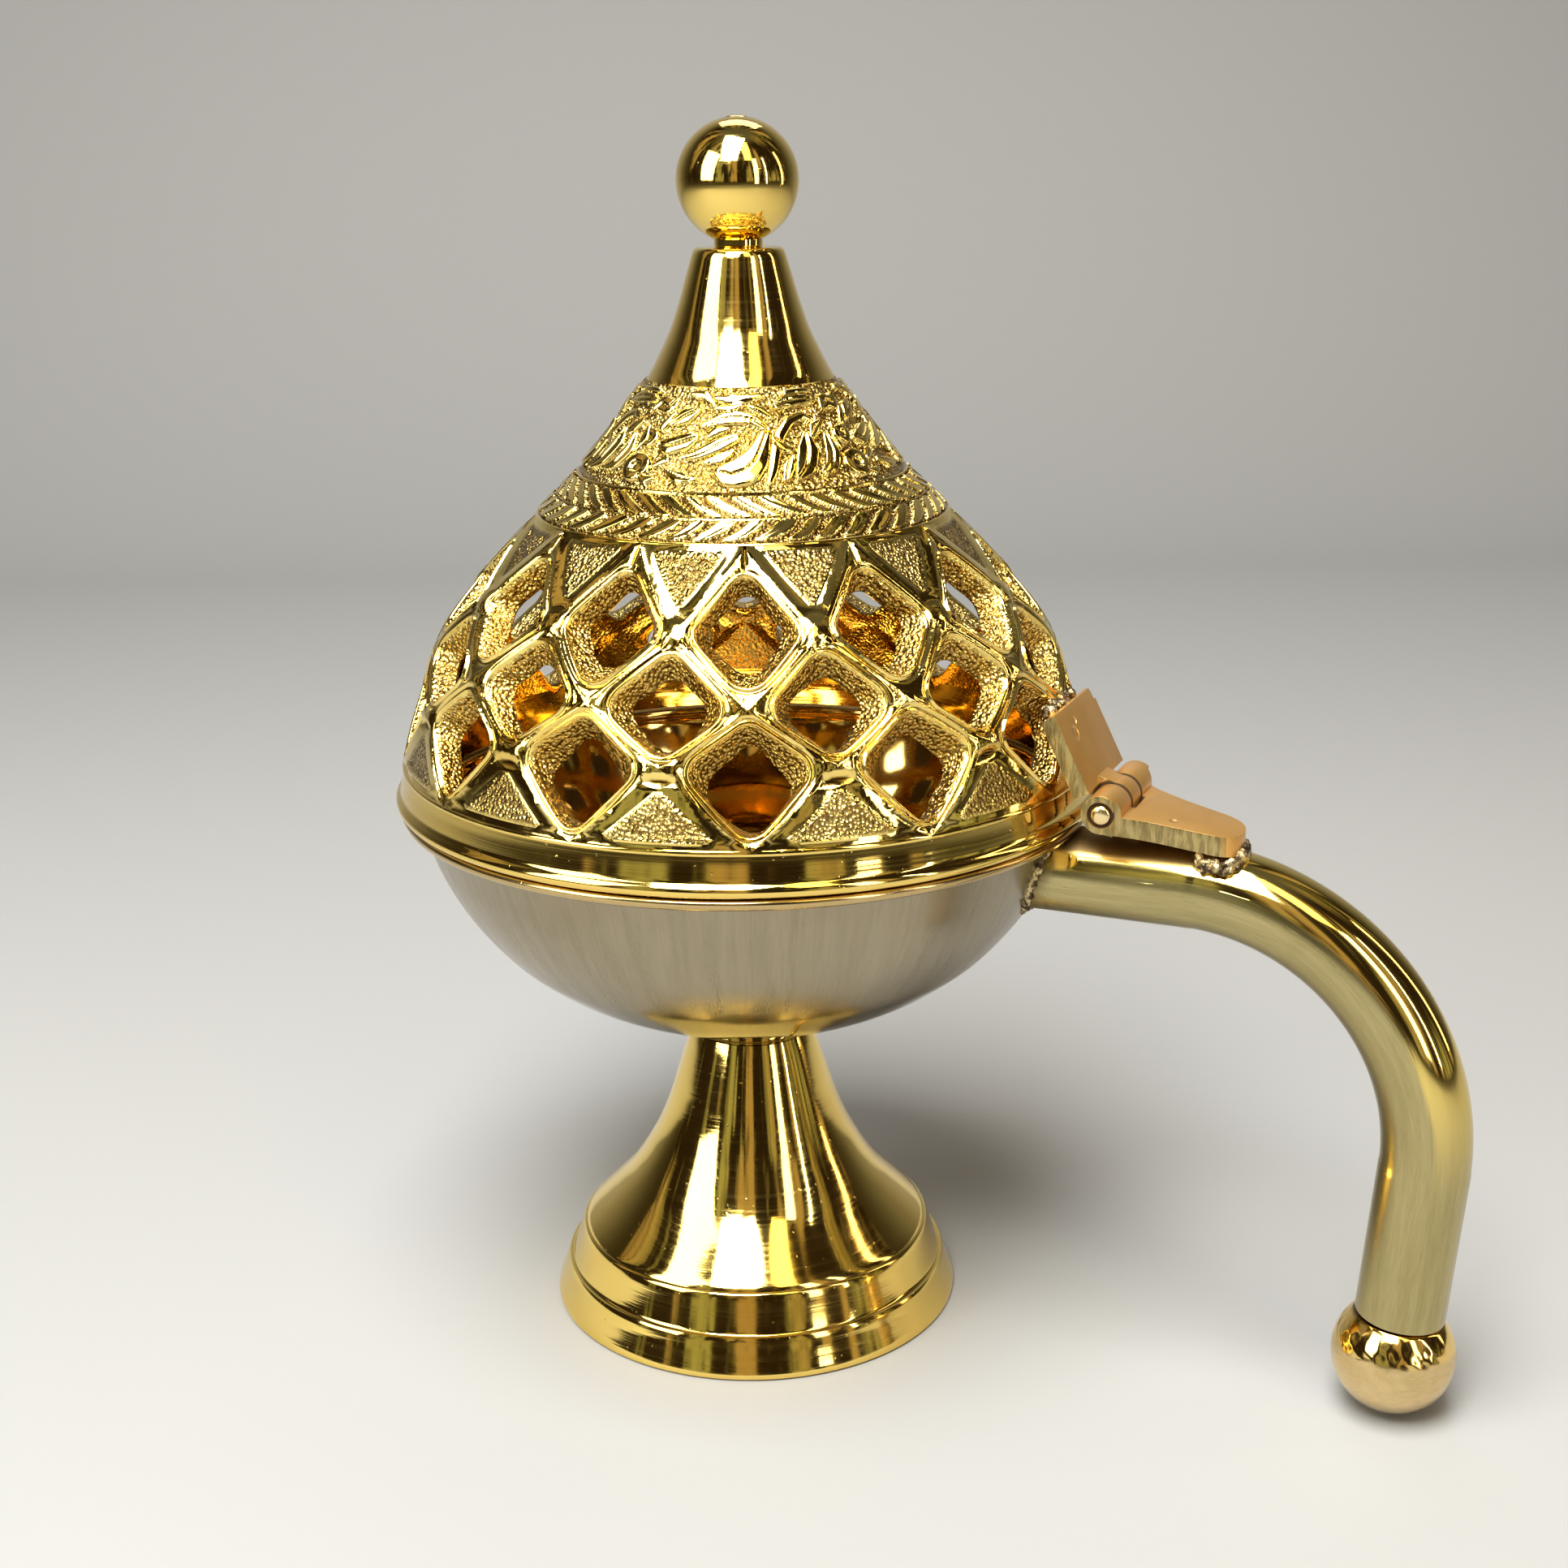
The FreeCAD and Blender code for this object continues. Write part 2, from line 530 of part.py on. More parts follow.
# --- finial: ball, stud, washer and nut ----------------------------------------------------
fball = new_body("finial_ball")
R = val("finial_rad")
cz = val("finial_z")
pts = [(1.6, 154.6), (3.3, 154.6), (3.3, 155.5)]
start = math.asin(3.3 / R)
for k in range(0, 15):
    a = (math.pi - start) - (math.pi - start - math.asin(1.6 / R)) * k / 14
    pts.append((round(R * math.sin(a), 4), round(cz + R * math.cos(a), 4)))
pts[2] = (3.3, pts[3][1] - 0.05)
revolve(fball, "fball", pts)
fstud = new_body("finial_stud")
top = cz + R * math.cos(math.asin(1.6 / R))
revolve(fstud, "fstud", [
    (0.0, 146.4), (1.3, 146.4), (1.6, 146.7), (1.6, top), (0.9, top + 0.22), (0.0, top + 0.3)])
fwasher = new_body("finial_washer")
revolve(fwasher, "fwasher", [(1.7, 150.9), (4.2, 150.9), (4.2, 151.6), (1.7, 151.6)])
fnut = hex_nut("finial_nut", 6.4, 1.6, 148.1, 150.9)

# --- upper hinge leaf ----------------------------------------------------------------------
lid_leaf = new_body("lid_leaf")
pad_between(lid_leaf, [
    (52.9, 86.0), (48.25, 95.4), (47.85, 95.9), (47.3, 95.75), (46.28, 94.7), (50.93, 85.02),
], "plate", val("plate_near"), val("plate_far"))
mid_near, mid_far = val("slot_near") + val("side_play"), val("slot_far") - val("side_play")
pad_between(lid_leaf, [
    (50.93, 85.02), (52.5, 86.8), (54.9, 85.95), (54.7, 83.4), (53.4, 81.3),
], "web", mid_near, mid_far)
sk = xz_sketch_at(lid_leaf, "mid_barrel_sk", mid_far)
circle(sk, hx, hz, "knuckle_rad", "hinge_x", "hinge_z")
p = lid_leaf.newObject("PartDesign::Pad", "mid_barrel")
p.Profile = sk
p.setExpression("Length", "Dims.slot_far - Dims.slot_near - 2 * Dims.side_play")
lid_leaf.Tip = p
doc.recompute()
before = lid_leaf.Shape.Volume
cell("mid_bore", val("pin_rad") + val("pin_play"))
sk = xz_sketch_at(lid_leaf, "mid_bore_sk", 10)
circle(sk, hx, hz, "mid_bore", "hinge_x", "hinge_z")
pk = lid_leaf.newObject("PartDesign::Pocket", "mid_bore_cut")
pk.Profile = sk
pk.Length = 21
pk.Reversed = True
lid_leaf.Tip = pk
doc.recompute()
if lid_leaf.Shape.Volume > before - 20:
    pk.Reversed = False
check_cut(lid_leaf, before, "mid_bore", 20)

# --- braze beads behind the plate ------------------------------------------------------------
beads = []
for i, (y0, y1, za, zb) in enumerate(((-4.6, 0.4, 92.9, 96.9), (2.6, 6.6, 93.2, 96.4))):
    body = new_body("bead_blank_%d" % i)
    pad_between(body, [
        (43.6, za), (47.2, za + 0.6), (47.9, zb - 1.2), (47.0, zb), (43.6, zb + 0.4),
    ], "bead%d" % i, y0, y1)
    beads.append(body)
bead_fuse = doc.addObject("Part::MultiFuse", "bead_fuse")
bead_fuse.Shapes = beads
dome_env = new_body("dome_envelope")
revolve(dome_env, "domenv", [
    (0.0, 80.0), (49.0, 80.0), (48.3, 86.0), (46.9, 91.0), (45.0, 97.0), (43.8, 100.0), (42.2, 103.3), (0.0, 103.3)])
bead_wo_dome = doc.addObject("Part::Cut", "bead_wo_dome")
bead_wo_dome.Base, bead_wo_dome.Tool = bead_fuse, dome_env
lid_leaf_braze = doc.addObject("Part::Cut", "lid_leaf_braze")
lid_leaf_braze.Base, lid_leaf_braze.Tool = bead_wo_dome, lid_leaf
lid_leaf_braze.Label = "lid_leaf_braze"

doc.recompute()

# --- checks and export ----------------------------------------------------------------------
nodes = [
    foot, bowl, bolt, washer, foot_nut, handle_tube, handle_braze, plug_body, stud_body, ball_body,
    leaf, leaf_braze, pin, dome, lid_leaf, lid_leaf_braze, fball, fstud, fwasher, fnut,
]
bad = [o.Name for o in doc.Objects if "Invalid" in o.State or "Error" in o.State]
if bad:
    raise RuntimeError("failed objects: %s" % bad)
for o in nodes:
    if o.Shape.isNull() or not o.Shape.isValid() or not o.Shape.Solids:
        raise RuntimeError("bad shape: " + o.Label)
os.makedirs("parts", exist_ok=True)
for o in nodes:
    o.Shape.exportStep("parts/%s.step" % o.Label)
    bb = o.Shape.BoundBox
    print("%-16s solids %d vol %9.1f  x %.2f..%.2f y %.2f..%.2f z %.2f..%.2f" % (
        o.Label, len(o.Shape.Solids), o.Shape.Volume, bb.XMin, bb.XMax, bb.YMin, bb.YMax, bb.ZMin, bb.ZMax))
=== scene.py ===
import math

import bmesh
import bpy
import numpy as np
from mathutils import Matrix, Vector


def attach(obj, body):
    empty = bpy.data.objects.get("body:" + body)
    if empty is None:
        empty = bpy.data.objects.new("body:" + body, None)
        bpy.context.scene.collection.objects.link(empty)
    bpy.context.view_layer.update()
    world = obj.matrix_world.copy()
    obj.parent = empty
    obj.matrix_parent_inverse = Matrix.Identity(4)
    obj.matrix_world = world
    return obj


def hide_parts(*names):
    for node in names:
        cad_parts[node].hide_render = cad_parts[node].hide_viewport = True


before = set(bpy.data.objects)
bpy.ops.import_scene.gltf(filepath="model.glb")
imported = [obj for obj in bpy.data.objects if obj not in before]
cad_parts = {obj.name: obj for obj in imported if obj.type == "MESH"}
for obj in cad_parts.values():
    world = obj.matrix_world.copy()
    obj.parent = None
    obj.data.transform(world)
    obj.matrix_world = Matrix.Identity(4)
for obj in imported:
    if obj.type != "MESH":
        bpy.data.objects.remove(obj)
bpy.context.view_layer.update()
MM = 0.001
rng = np.random.default_rng(7)

# ------------------------------------------------------------------ curves
def spline(points, corners=(), step=0.35):
    """Dense polyline through the points: smooth Catmull-Rom pieces between the listed corner indices."""
    pts = np.array(points, float)
    cuts = sorted(set([0, len(pts) - 1] + list(corners)))
    out = [pts[0]]
    for a, b in zip(cuts[:-1], cuts[1:]):
        seg = pts[a:b + 1]
        if len(seg) == 2:
            n = max(1, int(np.linalg.norm(seg[1] - seg[0]) / (step * 3)))
            out += [seg[0] + (seg[1] - seg[0]) * k / n for k in range(1, n + 1)]
            continue
        ext = np.vstack([2 * seg[0] - seg[1], seg, 2 * seg[-1] - seg[-2]])
        for i in range(1, len(ext) - 2):
            p0, p1, p2, p3 = ext[i - 1:i + 3]
            d = [max(np.linalg.norm(q - p) ** 0.5, 1e-6) for p, q in ((p0, p1), (p1, p2), (p2, p3))]
            m1 = (p2 - p1) + d[1] * ((p1 - p0) / d[0] - (p2 - p0) / (d[0] + d[1]))
            m2 = (p2 - p1) + d[1] * ((p3 - p2) / d[2] - (p3 - p1) / (d[1] + d[2]))
            n = max(2, int(np.linalg.norm(p2 - p1) / step))
            for k in range(1, n + 1):
                t = k / n
                out.append((2 * t**3 - 3 * t**2 + 1) * p1 + (t**3 - 2 * t**2 + t) * m1
                           + (-2 * t**3 + 3 * t**2) * p2 + (t**3 - t**2) * m2)
    return np.array(out)


def make_object(name, verts, faces, smooth_angle=35.0, attrs=None, weld=None):
    me = bpy.data.meshes.new(name)
    me.from_pydata([tuple(v) for v in np.asarray(verts) * MM], [], faces)
    me.update()
    if attrs:
        for key, data in attrs.items():
            at = me.attributes.new(key, "FLOAT", "POINT")
            at.data.foreach_set("value", np.asarray(data, dtype=np.float32))
    bm = bmesh.new()
    bm.from_mesh(me)
    if weld:
        bmesh.ops.remove_doubles(bm, verts=bm.verts, dist=weld * MM)
    bmesh.ops.recalc_face_normals(bm, faces=bm.faces)
    bm.to_mesh(me)
    bm.free()
    me.shade_smooth()
    me.set_sharp_from_angle(angle=math.radians(smooth_angle))
    ob = bpy.data.objects.new(name, me)
    bpy.context.scene.collection.objects.link(ob)
    return ob


def revolve(name, outline, seg=224, smooth_angle=35.0, axis=None, wobble=None, mask=None):
    """Closed section (radius, height) turned once round Z; a section that starts and ends on the axis closes with poles."""
    pts = np.array(outline, float)
    solid = pts[0, 0] < 1e-6 and pts[-1, 0] < 1e-6
    verts, faces, along, tag = [], [], [], []
    dist = np.concatenate([[0], np.cumsum(np.linalg.norm(np.diff(pts, axis=0), axis=1))])
    ang = np.arange(seg) * 2 * math.pi / seg
    rings = pts[1:-1] if solid else pts
    for i, (r, z) in enumerate(rings):
        rr = np.full(seg, r)
        if wobble is not None:
            rr = rr + wobble(ang, z, r)
        verts += list(np.stack([rr * np.cos(ang), rr * np.sin(ang), np.full(seg, z)], -1))
        along += [dist[i + (1 if solid else 0)]] * seg
        tag += [0.0 if mask is None else mask[i]] * seg
    n = len(rings)
    for i in range(n - 1 if solid else n):
        j = (i + 1) % n
        for k in range(seg):
            l = (k + 1) % seg
            faces.append((i * seg + k, i * seg + l, j * seg + l, j * seg + k))
    if solid:
        verts += [np.array([0, 0, pts[0, 1]]), np.array([0, 0, pts[-1, 1]])]
        along += [0, dist[-1]]
        tag += [0.0, 0.0]
        a, b = len(verts) - 2, len(verts) - 1
        for k in range(seg):
            l = (k + 1) % seg
            faces.append((a, l, k))
            faces.append((b, (n - 1) * seg + k, (n - 1) * seg + l))
    verts = np.array(verts)
    if axis is not None:
        verts = (np.array(axis.to_3x3()) @ verts.T).T + np.array(axis.translation)
    return make_object(name, verts, faces, smooth_angle, {"run": along, "inside": tag})


def place(x, z, lean_deg):
    return Matrix.Translation((x, 0, z)) @ Matrix.Rotation(math.radians(lean_deg), 4, "Y")


# ------------------------------------------------------------------ materials
def material(name):
    mat = bpy.data.materials.new(name)
    mat.use_nodes = True
    nt = mat.node_tree
    nt.nodes.clear()
    out = nt.nodes.new("ShaderNodeOutputMaterial")
    bsdf = nt.nodes.new("ShaderNodeBsdfPrincipled")
    bsdf.inputs["Metallic"].default_value = 1.0
    nt.links.new(bsdf.outputs[0], out.inputs[0])
    return mat, nt, bsdf


def node(nt, kind, **props):
    nd = nt.nodes.new(kind)
    for key, value in props.items():
        if key in ("operation", "blend_type", "data_type", "noise_dimensions", "feature", "attribute_name",
                   "voronoi_dimensions", "interpolation_type", "clamp", "musgrave_dimensions"):
            setattr(nd, key, value)
        else:
            nd.inputs[key].default_value = value
    return nd


def math_node(nt, op, a, b=None, c=None):
    nd = nt.nodes.new("ShaderNodeMath")
    nd.operation = op
    for i, v in enumerate((a, b, c)):
        if v is None:
            continue
        if hasattr(v, "node"):
            nt.links.new(v, nd.inputs[i])
        else:
            nd.inputs[i].default_value = v
    return nd.outputs[0]


def mix_colour(nt, fac, a, b, blend="MIX"):
    nd = nt.nodes.new("ShaderNodeMix")
    nd.data_type = "RGBA"
    nd.blend_type = blend
    for sock, v in ((nd.inputs[0], fac), (nd.inputs[6], a), (nd.inputs[7], b)):
        if hasattr(v, "node"):
            nt.links.new(v, sock)
        elif isinstance(v, tuple):
            sock.default_value = v + (1.0,) if len(v) == 3 else v
        else:
            sock.default_value = v
    return nd.outputs[2]


def ramp(nt, value, lo, hi, out_lo=0.0, out_hi=1.0):
    nd = nt.nodes.new("ShaderNodeMapRange")
    nd.interpolation_type = "SMOOTHSTEP"
    nt.links.new(value, nd.inputs[0])
    for i, v in enumerate((lo, hi, out_lo, out_hi)):
        nd.inputs[i + 1].default_value = v
    return nd.outputs[0]


def noise(nt, vector, scale, detail=3.0, rough=0.55):
    nd = nt.nodes.new("ShaderNodeTexNoise")
    nd.inputs["Scale"].default_value = scale
    nd.inputs["Detail"].default_value = detail
    nd.inputs["Roughness"].default_value = rough
    nt.links.new(vector, nd.inputs["Vector"])
    return nd.outputs[0]


def object_coords(nt):
    return nt.nodes.new("ShaderNodeTexCoord").outputs["Object"]


def attribute(nt, key):
    nd = nt.nodes.new("ShaderNodeAttribute")
    nd.attribute_name = key
    return nd.outputs["Fac"]


def turned_coords(nt, k_r, k_z, k_a=0.6):
    """Coordinates that hardly change round the Z axis: texture in them makes fine rings, as turning and buffing leave."""
    co = object_coords(nt)
    sep = nt.nodes.new("ShaderNodeSeparateXYZ")
    nt.links.new(co, sep.inputs[0])
    x, y, z = sep.outputs
    r = math_node(nt, "SQRT", math_node(nt, "ADD", math_node(nt, "MULTIPLY", x, x), math_node(nt, "MULTIPLY", y, y)))
    comb = nt.nodes.new("ShaderNodeCombineXYZ")
    nt.links.new(math_node(nt, "MULTIPLY", r, k_r), comb.inputs[0])
    nt.links.new(math_node(nt, "MULTIPLY", z, k_z), comb.inputs[1])
    nt.links.new(math_node(nt, "MULTIPLY", math_node(nt, "ARCTAN2", y, x), k_a), comb.inputs[2])
    return comb.outputs[0]


def bump(nt, bsdf, height, strength, distance, before=None):
    nd = nt.nodes.new("ShaderNodeBump")
    nd.inputs["Strength"].default_value = strength
    nd.inputs["Distance"].default_value = distance
    nt.links.new(height, nd.inputs["Height"])
    if before is not None:
        nt.links.new(before, nd.inputs["Normal"])
    nt.links.new(nd.outputs[0], bsdf.inputs["Normal"])
    return nd.outputs[0]


def polished_brass(name, rings=True, tone=(0.91, 0.665, 0.18), rough=0.045):
    """Mirror-polished turned brass: faint buffing rings, a very slow ripple, a little tarnish in cloudy patches."""
    mat, nt, b = material(name)
    co = object_coords(nt)
    cloud = noise(nt, co, 42.0, 4.0)
    fine = noise(nt, turned_coords(nt, 2600.0, 2600.0), 1.0, 2.0)
    tarnish = ramp(nt, cloud, 0.42, 0.78)
    col = mix_colour(nt, tarnish, tone, (tone[0] * 0.93, tone[1] * 0.86, tone[2] * 0.78))
    nt.links.new(col, b.inputs["Base Color"])
    rr = math_node(nt, "ADD", math_node(nt, "MULTIPLY", tarnish, 0.05), ramp(nt, fine, 0.3, 0.8, rough, rough + 0.06))
    nt.links.new(rr, b.inputs["Roughness"])
    n1 = bump(nt, b, noise(nt, co, 60.0, 1.0), 0.25, 0.0004)
    if rings:
        n1 = bump(nt, b, fine, 0.10, 0.00006, n1)
    speck = noise(nt, co, 1500.0, 2.0)
    bump(nt, b, ramp(nt, speck, 0.70, 0.80, 0.0, 1.0), 0.25, 0.00005, n1)
    return mat


def satin_brass(name, coords, tone, dark, rough=(0.26, 0.42), lines=0.45, middle=False):
    """Brushed brass: fine parallel lines, smeared tone, a few longer scratches."""
    mat, nt, b = material(name)
    co = object_coords(nt)
    v = coords(nt)
    fine = noise(nt, v, 1.0, 4.0, 0.65)
    broad = noise(nt, v, 0.16, 3.0, 0.6)
    cloud = noise(nt, co, 55.0, 5.0, 0.6)
    shade = math_node(nt, "ADD", math_node(nt, "MULTIPLY", fine, 0.45), math_node(nt, "MULTIPLY", broad, 0.55))
    col = mix_colour(nt, ramp(nt, shade, 0.34, 0.66), dark, tone)
    col = mix_colour(nt, ramp(nt, cloud, 0.52, 0.78, 0.0, 0.35), col, (dark[0] * 0.8, dark[1] * 0.74, dark[2] * 0.66))
    rr = ramp(nt, shade, 0.3, 0.7, rough[1], rough[0])
    if middle == "tube":
        # the upper side of the straight part and the outer side of the bend are buffed (low roughness) and carry a
        # painted highlight (much lighter colour)
        up = attribute(nt, "around2")
        side = attribute(nt, "around")
        wave = math_node(nt, "MULTIPLY", math_node(nt, "SUBTRACT", broad, 0.5), 0.35)
        buff_and_highlight = ramp(nt, math_node(nt, "ADD", up, wave), 0.24, 0.40)
        buff_and_highlight = math_node(nt, "MULTIPLY", buff_and_highlight, ramp(nt, attribute(nt, "run"), 60.0, 80.0, 1.0, 0.0))
        # painted highlight: lighter colour along the buffed upper side
        col = mix_colour(nt, buff_and_highlight, col, (0.90, 0.68, 0.20))
        rr = math_node(nt, "ADD", math_node(nt, "MULTIPLY", rr, math_node(nt, "SUBTRACT", 1.0, buff_and_highlight)), math_node(nt, "MULTIPLY", buff_and_highlight, 0.075))
        # painted shadow under the hinge leaf, and darker colour by the bowl joint
        run_ = math_node(nt, "ADD", attribute(nt, "run"), math_node(nt, "MULTIPLY", cloud, 6.0))
        shadow_and_joint_dark = math_node(nt, "MULTIPLY", ramp(nt, run_, 27.0, 31.0, 0.95, 0.0), ramp(nt, up, 0.56, 0.72))
        shadow_and_joint_dark = math_node(nt, "MAXIMUM", shadow_and_joint_dark, ramp(nt, run_, 6.6, 8.6, 0.6, 0.0))
        rr = math_node(nt, "ADD", rr, math_node(nt, "MULTIPLY", shadow_and_joint_dark, 0.40))
        col = mix_colour(nt, shadow_and_joint_dark, col, (0.10, 0.065, 0.03))
    elif middle == "ball":
        sep = nt.nodes.new("ShaderNodeSeparateXYZ")
        nt.links.new(co, sep.inputs[0])
        z = sep.outputs[2]
        buff_and_highlight = ramp(nt, math_node(nt, "ADD", z, math_node(nt, "MULTIPLY", cloud, 0.004)), 0.0118, 0.0128)
        # darker ring where the ball meets the tube
        shadow_and_joint_dark = ramp(nt, z, 0.0143, 0.0149)
        col = mix_colour(nt, buff_and_highlight, col, (0.86, 0.60, 0.19))
        col = mix_colour(nt, shadow_and_joint_dark, col, (0.10, 0.06, 0.03))
        rr = math_node(nt, "ADD", math_node(nt, "MULTIPLY", rr, math_node(nt, "SUBTRACT", 1.0, buff_and_highlight)), math_node(nt, "MULTIPLY", buff_and_highlight, 0.09))
    elif middle:
        # the middle of the underside round the foot, and the rim bead, are buffed bright
        sep = nt.nodes.new("ShaderNodeSeparateXYZ")
        nt.links.new(co, sep.inputs[0])
        x, y, z = sep.outputs
        r = math_node(nt, "SQRT", math_node(nt, "ADD", math_node(nt, "MULTIPLY", x, x), math_node(nt, "MULTIPLY", y, y)))
        low = ramp(nt, r, 0.0375, 0.0320, 0.0, 1.0)
        rr = math_node(nt, "ADD", math_node(nt, "MULTIPLY", rr, math_node(nt, "SUBTRACT", 1.0, low)), math_node(nt, "MULTIPLY", low, 0.07))
        buff_and_highlight = ramp(nt, r, 0.0225, 0.0185, 0.0, 1.0)
        buff_and_highlight = math_node(nt, "MAXIMUM", buff_and_highlight, ramp(nt, z, 0.0772, 0.0774, 0.0, 0.45))
        buff_and_highlight = math_node(nt, "MAXIMUM", buff_and_highlight, attribute(nt, "inside"))
        col = mix_colour(nt, buff_and_highlight, col, (0.84, 0.56, 0.17))
        rr = math_node(nt, "ADD", math_node(nt, "MULTIPLY", rr, math_node(nt, "SUBTRACT", 1.0, buff_and_highlight)), math_node(nt, "MULTIPLY", buff_and_highlight, 0.055))
    nt.links.new(col, b.inputs["Base Color"])
    nt.links.new(rr, b.inputs["Roughness"])
    keep_ = 1.0 if not middle else math_node(nt, "SUBTRACT", 1.0, buff_and_highlight)
    if middle is True:
        keep_ = math_node(nt, "MULTIPLY", keep_, math_node(nt, "SUBTRACT", 1.0, low))
    n1 = bump(nt, b, math_node(nt, "MULTIPLY", fine, keep_), lines, 0.00006)
    scratch = noise(nt, v, 0.45, 1.0)
    bump(nt, b, math_node(nt, "MULTIPLY", ramp(nt, scratch, 0.74, 0.79, 1.0, 0.0), keep_), 0.35, 0.00006, n1)
    return mat


def wall_streaks(nt):
    """Coordinates that change quickly round the bowl and slowly down its wall."""
    return turned_coords(nt, 160.0, 160.0, 120.0)


def along_tube(nt):
    """Lines that follow the tube: fast round the section, slow along it."""
    comb = nt.nodes.new("ShaderNodeCombineXYZ")
    nt.links.new(math_node(nt, "MULTIPLY", attribute(nt, "around"), 34.0), comb.inputs[0])
    nt.links.new(math_node(nt, "MULTIPLY", attribute(nt, "run"), 0.34), comb.inputs[1])
    nt.links.new(math_node(nt, "MULTIPLY", attribute(nt, "around2"), 34.0), comb.inputs[2])
    return comb.outputs[0]


def ball_grain(nt):
    mp = nt.nodes.new("ShaderNodeMapping")
    mp.inputs["Scale"].default_value = (700.0, 700.0, 1500.0)
    nt.links.new(object_coords(nt), mp.inputs["Vector"])
    return mp.outputs[0]


def cast_brass(name):
    """Cast and tumbled brass: high relief polished, sunk ground granular and darker, with painted shade in the sunk
    ground, hole walls and inner faces. Masks come with the mesh.
    """
    mat, nt, b = material(name)
    co = object_coords(nt)
    rough_mask = attribute(nt, "grain")
    cav_shade = attribute(nt, "cavity_shade")
    vor = nt.nodes.new("ShaderNodeTexVoronoi")
    vor.feature = "SMOOTH_F1"
    vor.inputs["Scale"].default_value = 2100.0
    vor.inputs["Smoothness"].default_value = 0.35
    nt.links.new(co, vor.inputs["Vector"])
    grains = vor.outputs["Distance"]
    coarse = noise(nt, co, 900.0, 4.0, 0.65)
    soft = noise(nt, co, 260.0, 3.0, 0.5)
    cloud = noise(nt, co, 90.0, 4.0)
    g = math_node(nt, "MULTIPLY", math_node(nt, "ADD", grains, math_node(nt, "MULTIPLY", coarse, 0.9)), rough_mask)
    tone = mix_colour(nt, ramp(nt, cloud, 0.4, 0.7), (0.95, 0.72, 0.22), (0.86, 0.61, 0.15))
    # painted shade: recesses, hole walls and inner faces darkened to near-black brown
    tone = mix_colour(nt, ramp(nt, cav_shade, 0.02, 0.80, 0.0, 0.95), tone, (0.13, 0.078, 0.022))
    pits = math_node(nt, "MULTIPLY", ramp(nt, grains, 0.34, 0.66, 0.0, 0.80), rough_mask)
    tone = mix_colour(nt, pits, tone, (0.20, 0.11, 0.03))
    nt.links.new(tone, b.inputs["Base Color"])
    rr = math_node(nt, "ADD", ramp(nt, soft, 0.3, 0.7, 0.035, 0.085), math_node(nt, "MULTIPLY", rough_mask, 0.10))
    rr = math_node(nt, "ADD", rr, math_node(nt, "MULTIPLY", cav_shade, 0.15))
    nt.links.new(rr, b.inputs["Roughness"])
    n1 = bump(nt, b, soft, 0.22, 0.0003)
    bump(nt, b, g, 1.0, 0.00034, n1)
    return mat


